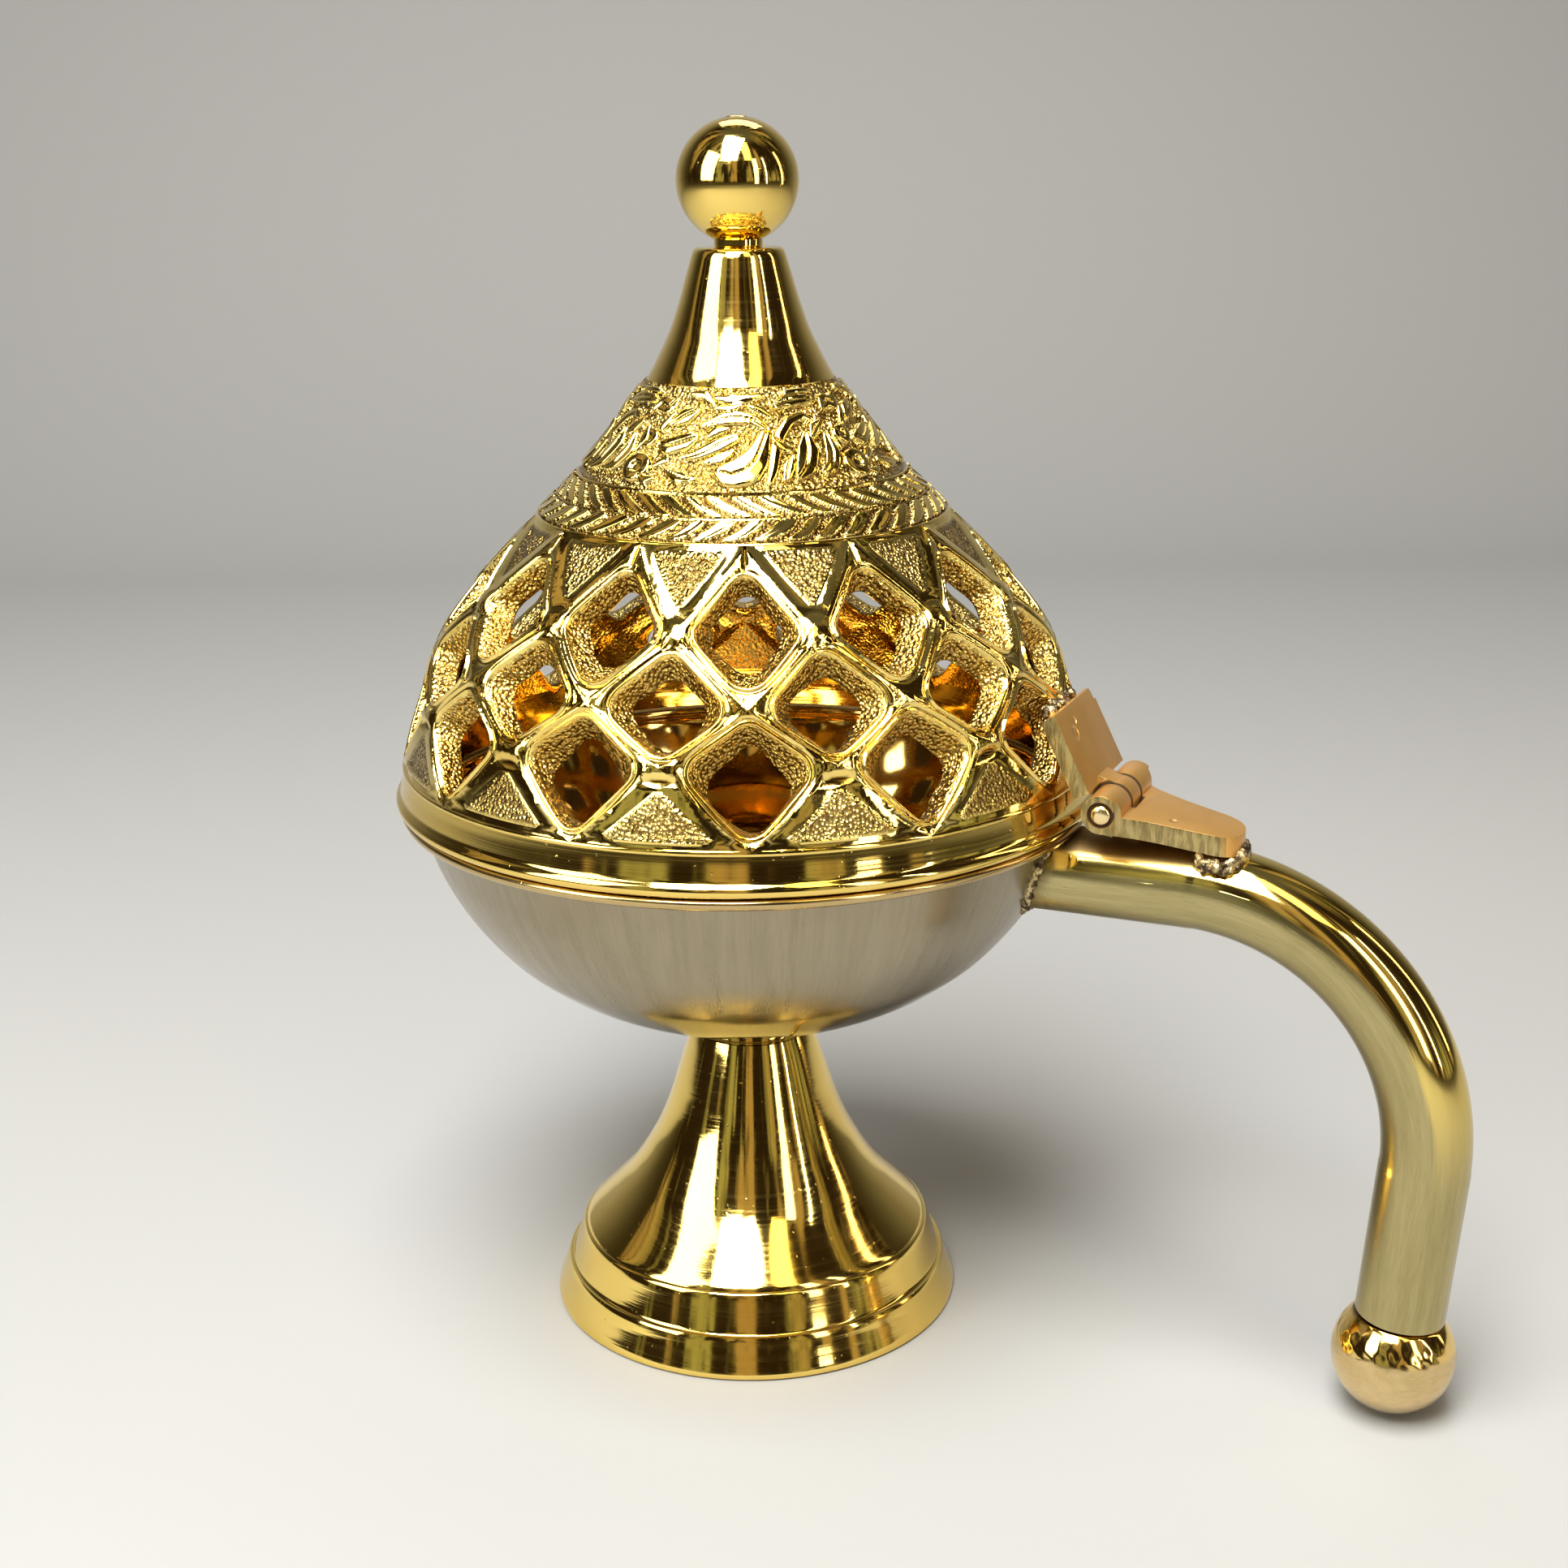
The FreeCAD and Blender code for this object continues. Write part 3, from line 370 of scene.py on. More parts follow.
def plate_brass(name):
    """Stamped hinge plate: coppery, lightly linished, with painted shade where the pin runs and in the gaps between
    knuckles.
    """
    mat, nt, b = material(name)
    co = object_coords(nt)
    mp = nt.nodes.new("ShaderNodeMapping")
    mp.inputs["Scale"].default_value = (500.0, 2600.0, 500.0)
    nt.links.new(co, mp.inputs["Vector"])
    fine = noise(nt, mp.outputs[0], 1.0, 3.0)
    cloud = noise(nt, co, 160.0, 4.0)
    speck = ramp(nt, noise(nt, co, 1100.0, 1.0), 0.72, 0.78)
    tone = mix_colour(nt, ramp(nt, cloud, 0.35, 0.7), (0.76, 0.42, 0.12), (0.71, 0.38, 0.10))
    tone = mix_colour(nt, math_node(nt, "MULTIPLY", speck, 0.2), tone, (0.25, 0.15, 0.08))
    sep = nt.nodes.new("ShaderNodeSeparateXYZ")
    nt.links.new(co, sep.inputs[0])
    dx = math_node(nt, "SUBTRACT", sep.outputs[0], 0.0547)
    dz = math_node(nt, "SUBTRACT", sep.outputs[2], 0.0834)
    r = math_node(nt, "SQRT", math_node(nt, "ADD", math_node(nt, "MULTIPLY", dx, dx), math_node(nt, "MULTIPLY", dz, dz)))
    # painted shade in the pin bore and its end recesses, and in the gaps between the knuckles
    bore_shade = ramp(nt, r, 0.00174, 0.00186, 1.0, 0.0)
    ay = math_node(nt, "ABSOLUTE", math_node(nt, "ADD", sep.outputs[1], 0.0003))
    knuckle_gap_shade = math_node(nt, "MULTIPLY", ramp(nt, math_node(nt, "ABSOLUTE", math_node(nt, "SUBTRACT", ay, 0.00235)), 0.0003, 0.0006, 0.95, 0.0),
                    ramp(nt, r, 0.0029, 0.0033, 1.0, 0.0))
    dark = math_node(nt, "MAXIMUM", bore_shade, knuckle_gap_shade)
    tone = mix_colour(nt, dark, tone, (0.055, 0.032, 0.018))
    # sawn side faces: yellower, with short ridges, and darker as painted shade
    geo = nt.nodes.new("ShaderNodeNewGeometry")
    sn = nt.nodes.new("ShaderNodeSeparateXYZ")
    nt.links.new(geo.outputs["True Normal"], sn.inputs[0])
    side = ramp(nt, math_node(nt, "ABSOLUTE", sn.outputs[1]), 0.75, 0.95)
    mp2 = nt.nodes.new("ShaderNodeMapping")
    mp2.inputs["Scale"].default_value = (1700.0, 300.0, 300.0)
    nt.links.new(co, mp2.inputs["Vector"])
    saw = noise(nt, mp2.outputs[0], 1.0, 3.0, 0.6)
    sawn_and_shaded = mix_colour(nt, ramp(nt, saw, 0.36, 0.64), (0.24, 0.18, 0.07), (0.44, 0.34, 0.14))
    tone = mix_colour(nt, math_node(nt, "MULTIPLY", side, math_node(nt, "SUBTRACT", 1.0, dark)), tone, sawn_and_shaded)
    nt.links.new(tone, b.inputs["Base Color"])
    b.inputs["Metallic"].default_value = 0.86
    nt.links.new(math_node(nt, "ADD", ramp(nt, fine, 0.3, 0.7, 0.29, 0.31), math_node(nt, "MULTIPLY", dark, 0.3)), b.inputs["Roughness"])
    dent = None
    for px, py, pz, pr in ((0.0494, -0.0036, 0.0926, 0.0013), (0.0489, -0.0022, 0.0940, 0.0007), (0.0633, -0.0042, 0.0823, 0.0006)):
        vd = nt.nodes.new("ShaderNodeVectorMath")
        vd.operation = "DISTANCE"
        nt.links.new(co, vd.inputs[0])
        vd.inputs[1].default_value = (px, py, pz)
        one = ramp(nt, math_node(nt, "ADD", vd.outputs["Value"], math_node(nt, "MULTIPLY", cloud, 0.0006)), pr * 0.5 + 0.0003, pr + 0.0003, 1.0, 0.0)
        dent = one if dent is None else math_node(nt, "MAXIMUM", dent, one)
    n1 = bump(nt, b, math_node(nt, "SUBTRACT", 1.0, dent), 1.0, 0.00035)
    n1 = bump(nt, b, noise(nt, co, 220.0, 1.0), 0.15, 0.00030, n1)
    n1 = bump(nt, b, math_node(nt, "MULTIPLY", saw, side), 0.9, 0.00030, n1)
    bump(nt, b, fine, 0.01, 0.00001, n1)
    return mat


def braze_metal(name):
    mat, nt, b = material(name)
    co = object_coords(nt)
    a = noise(nt, co, 700.0, 5.0, 0.7)
    c = noise(nt, co, 180.0, 3.0)
    tone = mix_colour(nt, ramp(nt, a, 0.44, 0.64), (0.07, 0.045, 0.025), (0.82, 0.66, 0.36))
    tone = mix_colour(nt, ramp(nt, c, 0.5, 0.75, 0.0, 0.7), tone, (0.10, 0.065, 0.045))
    nt.links.new(tone, b.inputs["Base Color"])
    nt.links.new(ramp(nt, a, 0.3, 0.7, 0.42, 0.16), b.inputs["Roughness"])
    bump(nt, b, a, 1.0, 0.0005)
    return mat


def zinc(name):
    mat, nt, b = material(name)
    co = object_coords(nt)
    a = noise(nt, co, 420.0, 4.0)
    tone = mix_colour(nt, ramp(nt, a, 0.4, 0.65), (0.62, 0.62, 0.60), (0.42, 0.41, 0.38))
    nt.links.new(tone, b.inputs["Base Color"])
    nt.links.new(ramp(nt, a, 0.3, 0.7, 0.28, 0.5), b.inputs["Roughness"])
    bump(nt, b, a, 0.3, 0.0001)
    return mat


M_POL = polished_brass("polished_brass")
M_BOWL = satin_brass("bowl_brass", wall_streaks, (0.375, 0.32, 0.225), (0.315, 0.268, 0.18), (0.21, 0.29), 0.10, True)
M_TUBE = satin_brass("tube_brass", along_tube, (0.48, 0.405, 0.195), (0.38, 0.315, 0.14), (0.17, 0.28), 0.16, "tube")
M_BALL = satin_brass("ball_brass", ball_grain, (0.76, 0.58, 0.30), (0.62, 0.45, 0.21), (0.16, 0.30), 0.25, "ball")
M_PLATE = plate_brass("plate_brass")
M_CAST = cast_brass("cast_brass")
M_BRAZE = braze_metal("braze_brass")
M_ZINC = zinc("fastener_zinc")
M_PIN = polished_brass("pin_brass", False, (0.86, 0.68, 0.36), 0.16)


def finish(ob, mat, body, nodes):
    ob.data.materials.clear()
    ob.data.materials.append(mat)
    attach(ob, body)
    if nodes:
        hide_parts(*nodes)
    return ob


# ------------------------------------------------------------------ foot
foot_out = spline([
    (28.15, 0.0), (30.0, 0.0), (30.28, 0.25), (30.25, 0.7), (29.75, 2.1), (29.1, 3.9), (28.62, 5.35), (28.42, 5.72),
    (28.05, 5.80), (27.85, 5.98), (27.4, 7.2), (26.75, 9.1), (26.2, 10.75), (25.95, 11.25), (25.62, 11.42),
    (25.42, 11.80), (24.95, 12.32), (23.95, 13.33), (22.45, 14.84), (20.75, 16.62), (18.95, 18.70), (17.25, 21.1), (15.8, 23.5),
    (14.45, 26.0), (13.2, 28.9), (12.1, 32.0), (11.15, 35.0), (10.2, 38.0), (9.35, 40.6), (8.85, 42.0)],
    corners=(1, 7, 9, 14), step=0.3)
foot_in = spline([
    (2.7, 42.0), (2.7, 38.6), (6.2, 38.6), (6.6, 37.0), (7.1, 34.5), (8.9, 29.0), (11.2, 24.2), (13.8, 20.0),
    (16.6, 16.6), (20.2, 13.4), (23.2, 10.8), (24.4, 8.0), (26.6, 4.0), (28.0, 0.6), (28.15, 0.0)], corners=(1, 2, 10, 11), step=0.8)
foot = revolve("foot_bell", np.vstack([foot_out, foot_in[:-1]]), 256, 32)
finish(foot, M_POL, "base", ["foot"])

# ------------------------------------------------------------------ bowl
bowl_out = spline([
    (8.8, 42.05), (10.2, 42.9), (14.0, 45.2), (17.0, 46.55), (20.0, 47.8), (23.0, 49.15), (26.0, 50.6), (29.0, 52.3),
    (32.0, 54.4), (35.2, 57.0), (38.0, 60.0), (40.8, 63.6), (43.0, 67.2), (44.8, 71.0), (46.0, 74.4), (46.85, 76.9),
    (47.2, 77.35), (47.9, 77.42), (48.75, 77.5), (49.2, 77.85), (49.38, 78.35), (49.2, 78.8), (48.8, 79.0),
    (45.1, 79.0), (44.85, 78.7), (44.6, 77.0), (43.7, 74.0), (42.4, 70.6), (40.6, 67.0), (38.4, 63.6), (36.0, 60.6),
    (33.4, 58.2), (30.4, 56.0), (27.0, 54.0), (23.0, 52.1), (18.6, 50.4), (14.0, 48.6), (10.4, 47.0), (8.6, 45.6),
    (7.4, 45.2), (2.7, 45.2), (2.7, 42.05)], corners=(15, 17, 22, 23, 39, 40), step=0.5)
peak = int(np.argmax(bowl_out[:, 1]))
bowl_in = [1.0 if (i > peak and p[0] < 44.95 and not (p[0] < 2.8 and p[1] < 45.0)) else 0.0 for i, p in enumerate(bowl_out)]
bowl = revolve("bowl_shell", bowl_out, 256, 34, mask=bowl_in)
finish(bowl, M_BOWL, "base", ["bowl"])

# ------------------------------------------------------------------ lid: outer surface as a function of height
P = 360.0 / 13.0
AZ0 = -65.0
lid_pts = [
    (49.1, 82.4), (48.75, 84.0), (48.3, 86.0), (46.9, 91.0), (45.0, 97.0), (43.8, 100.0), (42.2, 103.3), (40.1, 106.2),
    (37.7, 109.0), (35.3, 112.0), (32.6, 115.0), (29.7, 118.1), (26.6, 121.0), (23.5, 124.0), (20.6, 127.0),
    (18.2, 130.0), (16.1, 133.0), (14.3, 135.5), (13.1, 137.2), (12.2, 138.4)]
dense = spline(lid_pts, step=0.1)
dense[:, 0] = np.convolve(np.pad(dense[:, 0], 20, mode="reflect", reflect_type="odd"), np.ones(41) / 41, "valid")
S_TAB = np.concatenate([[0], np.cumsum(np.linalg.norm(np.diff(dense, axis=0), axis=1))])
d_r = np.gradient(dense[:, 0], S_TAB)
d_z = np.gradient(dense[:, 1], S_TAB)


def s_of(z):
    return float(np.interp(z, dense[:, 1], S_TAB))


def surf(theta_deg, s, h):
    """Point on the lid's outer surface, h mm along its normal."""
    r = np.interp(s, S_TAB, dense[:, 0])
    z = np.interp(s, S_TAB, dense[:, 1])
    nr, nz = np.interp(s, S_TAB, d_z), -np.interp(s, S_TAB, d_r)
    ln = np.hypot(nr, nz)
    rr, zz = r + h * nr / ln, z + h * nz / ln
    a = np.radians(theta_deg)
    return np.stack([rr * np.cos(a), rr * np.sin(a), zz], -1)


SE, SD, SC, SB, SA = s_of(84.9), s_of(94.7), s_of(101.5), s_of(109.8), s_of(119.2)
M = 18            # edge divisions between lattice nodes


def rounded(poly, rad, n_arc=8):
    """Convex polygon with its corners rounded, as a dense closed polyline (counter-clockwise)."""
    poly = np.array(poly, float)
    out = []
    n = len(poly)
    for i in range(n):
        p, a, b = poly[i], poly[i - 1], poly[(i + 1) % n]
        u, v = (a - p) / np.linalg.norm(a - p), (b - p) / np.linalg.norm(b - p)
        half = math.acos(np.clip(u @ v, -1, 1)) / 2
        t = rad / math.tan(half)
        c = p + (u + v) / np.linalg.norm(u + v) * rad / math.sin(half)
        p0, p1 = p + u * t, p + v * t
        a0 = math.atan2(*(p0 - c)[::-1])
        a1 = math.atan2(*(p1 - c)[::-1])
        while a1 < a0:
            a1 += 2 * math.pi
        for k in range(n_arc + 1):
            w = a0 + (a1 - a0) * k / n_arc
            out.append(c + rad * np.array([math.cos(w), math.sin(w)]))
    return np.array(out)


def radial(poly, phis):
    """Distance from the origin to a closed star-shaped polyline in each direction."""
    ang = np.arctan2(poly[:, 1], poly[:, 0])
    order = np.argsort(ang)
    ang, rad = ang[order], np.hypot(poly[:, 0], poly[:, 1])[order]
    fine_a, fine_r = [], []
    pts = poly[order]
    for i in range(len(pts)):
        p, q = pts[i], pts[(i + 1) % len(pts)]
        for k in range(12):
            w = p + (q - p) * k / 12
            fine_a.append(math.atan2(w[1], w[0]))
            fine_r.append(math.hypot(*w))
    fine_a, fine_r = np.array(fine_a), np.array(fine_r)
    o = np.argsort(fine_a)
    return np.interp(phis, fine_a[o], fine_r[o], period=2 * math.pi)


def smooth01(x):
    x = np.clip(x, 0, 1)
    return x * x * (3 - 2 * x)


LIP_D = np.array([0.0, 0.10, 0.28, 0.46, 0.62, 0.80, 1.10, 9.0])
LIP_H = np.array([0.02, 0.24, 0.27, 0.08, -0.12, -0.02, 0.20, 0.25])
NEAR = [0.0, 0.07, 0.17, 0.28, 0.38, 0.48, 0.58, 0.70, 0.84]
REST = 6
EDGE_H = 0.27


def node_relief(x, y, kind):
    """Small cast details round a lattice node, x across and y up in mm from the node."""
    if kind == "D":      # collar where two ribs run together, leaf veins under it
        h = 0.34 * smooth01((2.5 - np.abs(x)) / 0.5) * smooth01((1.15 - np.abs(y + 0.1)) / 0.45)
        h -= 0.42 * smooth01((0.30 - np.abs(y + 1.65 + 0.10 * np.abs(x))) / 0.25) * smooth01((2.3 - np.abs(x)) / 0.4)
        h -= 0.35 * smooth01((0.26 - np.abs(y - 1.45)) / 0.22) * smooth01((1.9 - np.abs(x)) / 0.4)
        return h
    if kind == "C":      # crossing with a short engraved dash each side
        h = -0.40 * smooth01((0.28 - np.abs(y + 0.5)) / 0.22) * smooth01((1.2 - np.abs(np.abs(x) - 2.5)) / 0.4)
        h += 0.16 * smooth01((1.3 - np.hypot(x, y)) / 0.9)
        h -= 0.30 * smooth01((0.24 - np.abs(y + 1.75 + 0.2 * np.abs(x))) / 0.2) * smooth01((1.5 - np.abs(x)) / 0.3)
        return h
    if kind == "A":      # wide petals that fall from the border line, split by a dark seam
        h = -0.42 * smooth01((0.30 - np.abs(np.abs(x) - 0.72 * np.abs(y) - 0.15)) / 0.22) * smooth01((4.6 - np.abs(y)) / 1.0) * smooth01((np.abs(y) - 0.9) / 0.5)
        h -= 0.30 * smooth01((0.22 - np.abs(x)) / 0.18) * smooth01((4.2 - np.abs(y)) / 0.8)
        return h
    if kind == "B":      # smooth boss
        h = 0.30 * smooth01((1.9 - np.hypot(x * 0.8, y)) / 0.8)
        h -= 0.38 * smooth01((0.26 - np.abs(np.hypot(x * 0.8, y) - 2.25)) / 0.22) * (np.abs(x) > 0.7)
        return h
    return np.zeros_like(x)


V, F, GR, CAV_SHADE = [], [], [], []


def add_verts(p, grain, cav_shade):
    base = len(V)
    V.extend(list(p))
    GR.extend(list(grain))
    # this list holds the painted-shade mask
    CAV_SHADE.extend(list(cav_shade))
    return base


def grid_faces(base, rows, cols, wrap):
    for i in range(rows - 1):
        for k in range(cols if wrap else cols - 1):
            l = (k + 1) % cols
            F.append((base + i * cols + k, base + i * cols + l, base + (i + 1) * cols + l, base + (i + 1) * cols + k))


def cell_mesh(theta, s_bot, s_side, s_top, kinds, rim_size, r_rim, throat, depth):
    """One lattice cell: outer face from its boundary to the rim, bevelled wall down to the throat, inner face."""
    r_row = float(np.interp(s_side, S_TAB, dense[:, 0]))
    w = math.radians(P / 2) * r_row
    t, b = s_top - s_side, s_side - s_bot
    corners = [np.array([w, 0.0]), np.array([0.0, t]), np.array([-w, 0.0]), np.array([0.0, -b])]
    hw, up, down = rim_size
    y0 = (up - down) * 0.42
    q = []
    for i in range(4):
        p0, p1 = corners[i], corners[(i + 1) % 4]
        q += [p0 + (p1 - p0) * k / M for k in range(M)]
    q = np.array(q)
    rel = q - np.array([0, y0])
    phi = np.arctan2(rel[:, 1], rel[:, 0])
    rim_poly = rounded([(hw, -y0), (0, up - y0), (-hw, -y0), (0, -down - y0)], r_rim)
    rim_r = radial(rim_poly, phi)
    rim = np.stack([rim_r * np.cos(phi), rim_r * np.sin(phi) + y0], -1)
    tw, th, shift, tr = throat
    thr_poly = rounded([(tw, 0), (0, th), (-tw, 0), (0, -th)], tr)
    thr_r = radial(thr_poly, phi)
    # the cast throat is never a perfect outline
    jit = 0.16 * np.sin(phi * 3 + theta) + 0.12 * np.sin(phi * 5 + 2.3 * theta)
    thr = np.stack([(thr_r + jit) * np.cos(phi), (thr_r + jit) * np.sin(phi) + y0 + shift], -1)
    out_dir = q - rim
    D = np.linalg.norm(out_dir, axis=1)
    u = out_dir / D[:, None]
    n = len(q)
    rows_p, rows_h, rows_g, rows_shade = [], [], [], []

    def to_surface(xy, h):
        return surf(theta + np.degrees(xy[:, 0] / r_row), s_side + xy[:, 1], h)

    def outer_h(xy, dist, blend):
        h = np.interp(dist, LIP_D, LIP_H)
        h = h * (1 - blend) + EDGE_H * blend
        for (cx, cy), kind in zip(((w, 0), (0, t), (-w, 0), (0, -b)), kinds):
            h = h + node_relief(xy[:, 0] - cx, xy[:, 1] - cy, kind) * smooth01((dist - 0.5) / 0.4)
        return h

    limit = D * 0.90
    # outer boundary first, then inwards to the rim
    seq = []
    for j in range(REST, 0, -1):
        f = j / REST
        start = np.minimum(NEAR[-1], limit)
        seq.append((start + (D - start) * f, smooth01(np.full(n, (f - 0.5) * 2))))
    for dd in reversed(NEAR):
        seq.append((np.minimum(dd, limit * (0.3 + 0.7 * dd / NEAR[-1])), np.zeros(n)))
    for dist, blend in seq:
        xy = rim + u * dist[:, None]
        h = outer_h(xy, dist, blend)
        rows_p.append(to_surface(xy, h))
        rows_g.append(np.full(n, 0.05))
        # painted shade: the lower the relief, the darker
        rows_shade.append(smooth01((0.02 - h) / 0.2) * 0.9)
    rough = 0.10 * np.sin(phi * 17 + theta * 1.7) + 0.08 * np.sin(phi * 29 + theta)
    for k, f in enumerate((0.05, 0.16, 0.3, 0.46, 0.62, 0.78, 0.9, 1.0)):
        side = f ** 1.25
        xy = rim + (thr - rim) * side
        xy = xy + (rim - np.array([0, y0])) / rim_r[:, None] * (rough * math.sin(f * math.pi))[:, None]
        h = -depth * (0.04 + 0.96 * f ** 0.85) + 0.06
        rows_p.append(to_surface(xy, np.full(n, h) + rough * 0.6 * math.sin(f * math.pi)))
        rows_g.append(np.full(n, 1.0 if k > 0 else 0.5))
        # painted shade deepening down the throat wall
        rows_shade.append(np.full(n, 0.10 + 0.35 * f))
    for f in (0.12, 0.5, 1.0):
        xy = thr + (q - thr) * f
        rows_p.append(to_surface(xy, np.full(n, -depth - 0.35 if f < 1 else -3.3)))
        rows_g.append(np.full(n, 0.10))
        # painted shade on the inner face
        rows_shade.append(np.full(n, 0.42))
    base = add_verts(np.vstack(rows_p), np.concatenate(rows_g), np.concatenate(rows_shade))
    grid_faces(base, len(rows_p), n, True)


def triangle_mesh(theta, s_apex, s_base, apex_kind):
    """Panel between two cells and a border line: polished ribs on two sides, a sunk granular field inside."""
    w = P / 2
    rows = []
    hgt = s_base - s_apex
    r_mid = float(np.interp((s_apex + s_base) / 2, S_TAB, dense[:, 0]))
    half = math.radians(w) * r_mid
    slope_len = math.hypot(half, hgt)
    pts, top_h, g, c = [], [], [], []
    for i in range(M + 1):
        for k in range(i + 1):
            x = (-i + 2 * k) / M          # -1..1 at the base
            y = i / M
            pts.append((x, y))
    pts = np.array(pts)
    x_mm = pts[:, 0] * half
    y_mm = pts[:, 1] * abs(hgt)
    # distance to the two slanted sides and to the base
    side = (half * y_mm / abs(hgt) - np.abs(x_mm)) * abs(hgt) / slope_len
    base_d = abs(hgt) - y_mm
    d = np.minimum(side, base_d + 0.75)
    h = np.interp(d, [0, 0.55, 0.9, 1.2, 1.5, 1.85, 2.2, 9], [EDGE_H, 0.25, 0.02, -0.14, 0.10, 0.12, -0.22, -0.26])
    h = h + node_relief(x_mm, (y_mm if hgt > 0 else -y_mm), apex_kind) * smooth01((2.6 - y_mm) / 0.8)
    field = smooth01((d - 1.9) / 0.4)
    grit = 0.10 * np.sin(x_mm * 5.1 + theta) * np.sin(y_mm * 6.3 + 1.3) * field
    h = h + grit
    s = s_apex + pts[:, 1] * hgt
    th = theta + pts[:, 0] * w
    out = surf(th, s, h)
    inn = surf(th, s, np.full(len(s), -3.3))
    # painted shade in the sunk relief, less in the granular field; painted shade on the inner face below
    base = add_verts(out, field, smooth01((0.0 - h) / 0.22) * (1 - 0.55 * field))
    inner = add_verts(inn, np.full(len(s), 0.10), np.full(len(s), 0.42))
    idx = lambda i, k: i * (i + 1) // 2 + k
    for off, flip in ((base, False), (inner, True)):
        for i in range(M):
            for k in range(i + 1):
                tri = (off + idx(i, k), off + idx(i + 1, k), off + idx(i + 1, k + 1))
                F.append(tri[::-1] if flip else tri)
                if k < i:
                    tri = (off + idx(i, k), off + idx(i + 1, k + 1), off + idx(i, k + 1))
                    F.append(tri[::-1] if flip else tri)
    for k in range(M):
        F.append((base + idx(M, k), base + idx(M, k + 1), inner + idx(M, k + 1), inner + idx(M, k)))


for j in range(13):
    az = AZ0 + P * j
    mid = az + P / 2
    cell_mesh(az, SE, SD, SC, ("D", "C", "D", ""), (8.6, 6.1, 9.4), 2.4, (6.7, 6.6, -1.1, 2.9), 3.3)
    cell_mesh(mid, SD, SC, SB, ("C", "B", "C", "D"), (8.4, 8.2, 6.4), 2.6, (6.1, 6.2, -0.7, 2.6), 3.1)
    cell_mesh(az, SC, SB, SA, ("B", "A", "B", "C"), (7.0, 10.0, 8.9), 2.5, (5.7, 6.9, 0.8, 2.4), 3.0)
    triangle_mesh(mid, SB, SA, "B")
    triangle_mesh(mid, SD, SE, "D")
lattice = make_object("lid_lattice", np.array(V), F, 50, {"grain": GR, "cavity_shade": CAV_SHADE}, weld=0.004)
finish(lattice, M_CAST, "lid", ["lid_dome"])


def band_piece(name, s_lo, s_hi, rows, cols, height, depth):
    """Closed ring of the lid's wall with a relief field on its outer face."""
    s = np.linspace(s_lo, s_hi, rows)
    th = np.arange(cols) * 360.0 / cols
    T, S = np.meshgrid(th, s)
    # the third mask is painted shade in the recesses
    h, g, c = height(T, S)
    verts = [surf(T.ravel(), S.ravel(), h.ravel())]
    grain, cav_shade = [g.ravel()], [c.ravel()]
    for f in (0.06, 0.5, 0.94):
        verts.append(surf(th, np.full(cols, s_hi + (s_lo - s_hi) * f), np.full(cols, -depth)))
        grain.append(np.full(cols, 0.10))
        # painted shade on the inner face
        cav_shade.append(np.full(cols, 0.42))
    verts = np.vstack(verts)
    n = rows + 3
    faces = []
    for i in range(n):
        j = (i + 1) % n
        for k in range(cols):
            l = (k + 1) % cols
            faces.append((i * cols + k, i * cols + l, j * cols + l, j * cols + k))
    ob = make_object(name, verts, faces, 60, {"grain": np.concatenate(grain), "cavity_shade": np.concatenate(cav_shade)})
    return finish(ob, M_CAST, "lid", ["lid_dome"])


S_MID, S_TOPC = s_of(122.05), s_of(124.95)


def chevrons(T, S):
    """Two rows of slanting leaves that meet on a middle line, between raised border lines."""
    n = 44
    v1 = (S - (SA + 0.55)) / (S_MID - SA - 0.75)
    v2 = (S - (S_MID + 0.15)) / (S_TOPC - S_MID - 0.7)
    ph1 = (T - AZ0) * n / 360.0 - 1.05 * v1 - 0.10 * np.sin(v1 * math.pi)
    ph2 = (T - AZ0) * n / 360.0 + 1.45 * v2 + 0.12 * np.sin(v2 * math.pi) + 0.3
    wob = 0.06 * np.sin(np.radians(T) * 9) + 0.04 * np.sin(np.radians(T) * 23)
    h = np.full(T.shape, -0.2)
    for v, ph in ((v1, ph1), (v2, ph2)):
        f = (ph + wob) - np.floor(ph + wob)
        a = np.abs(f - 0.5) * 2
        width = 0.80 * np.clip(1.3 * np.sqrt(np.clip(4 * v * (1 - v), 0, 1)) + 0.15, 0, 1)
        leaf = smooth01((width - a) / 0.20)
        ok = (v > 0) & (v < 1)
        h = np.where(ok, -0.34 + 0.72 * leaf + 0.10 * leaf * (a - 0.3), h)
    line = lambda s0, wd, hh: hh * smooth01((wd - np.abs(S - s0)) / (wd * 0.7))
    h = np.maximum(h, -0.3 + line(SA + 0.12, 0.42, 0.58))
    h = np.maximum(h, -0.3 + line(S_MID, 0.22, 0.42))
    h = np.maximum(h, -0.3 + line(S_TOPC - 0.15, 0.36, 0.52))
    # g serves as grain and as painted shade in the sunk ground
    g = smooth01((0.12 - h) / 0.3)
    return h, g * 0.8, g


band_piece("lid_chevrons", SA - 0.06, S_TOPC, 46, 900, chevrons, 3.0)

S_FOL0, S_FOL1 = S_TOPC - 0.03, s_of(137.35)
LEAVES = []     # each: (spine [(deg, z)...], half widths mm, height, vein)


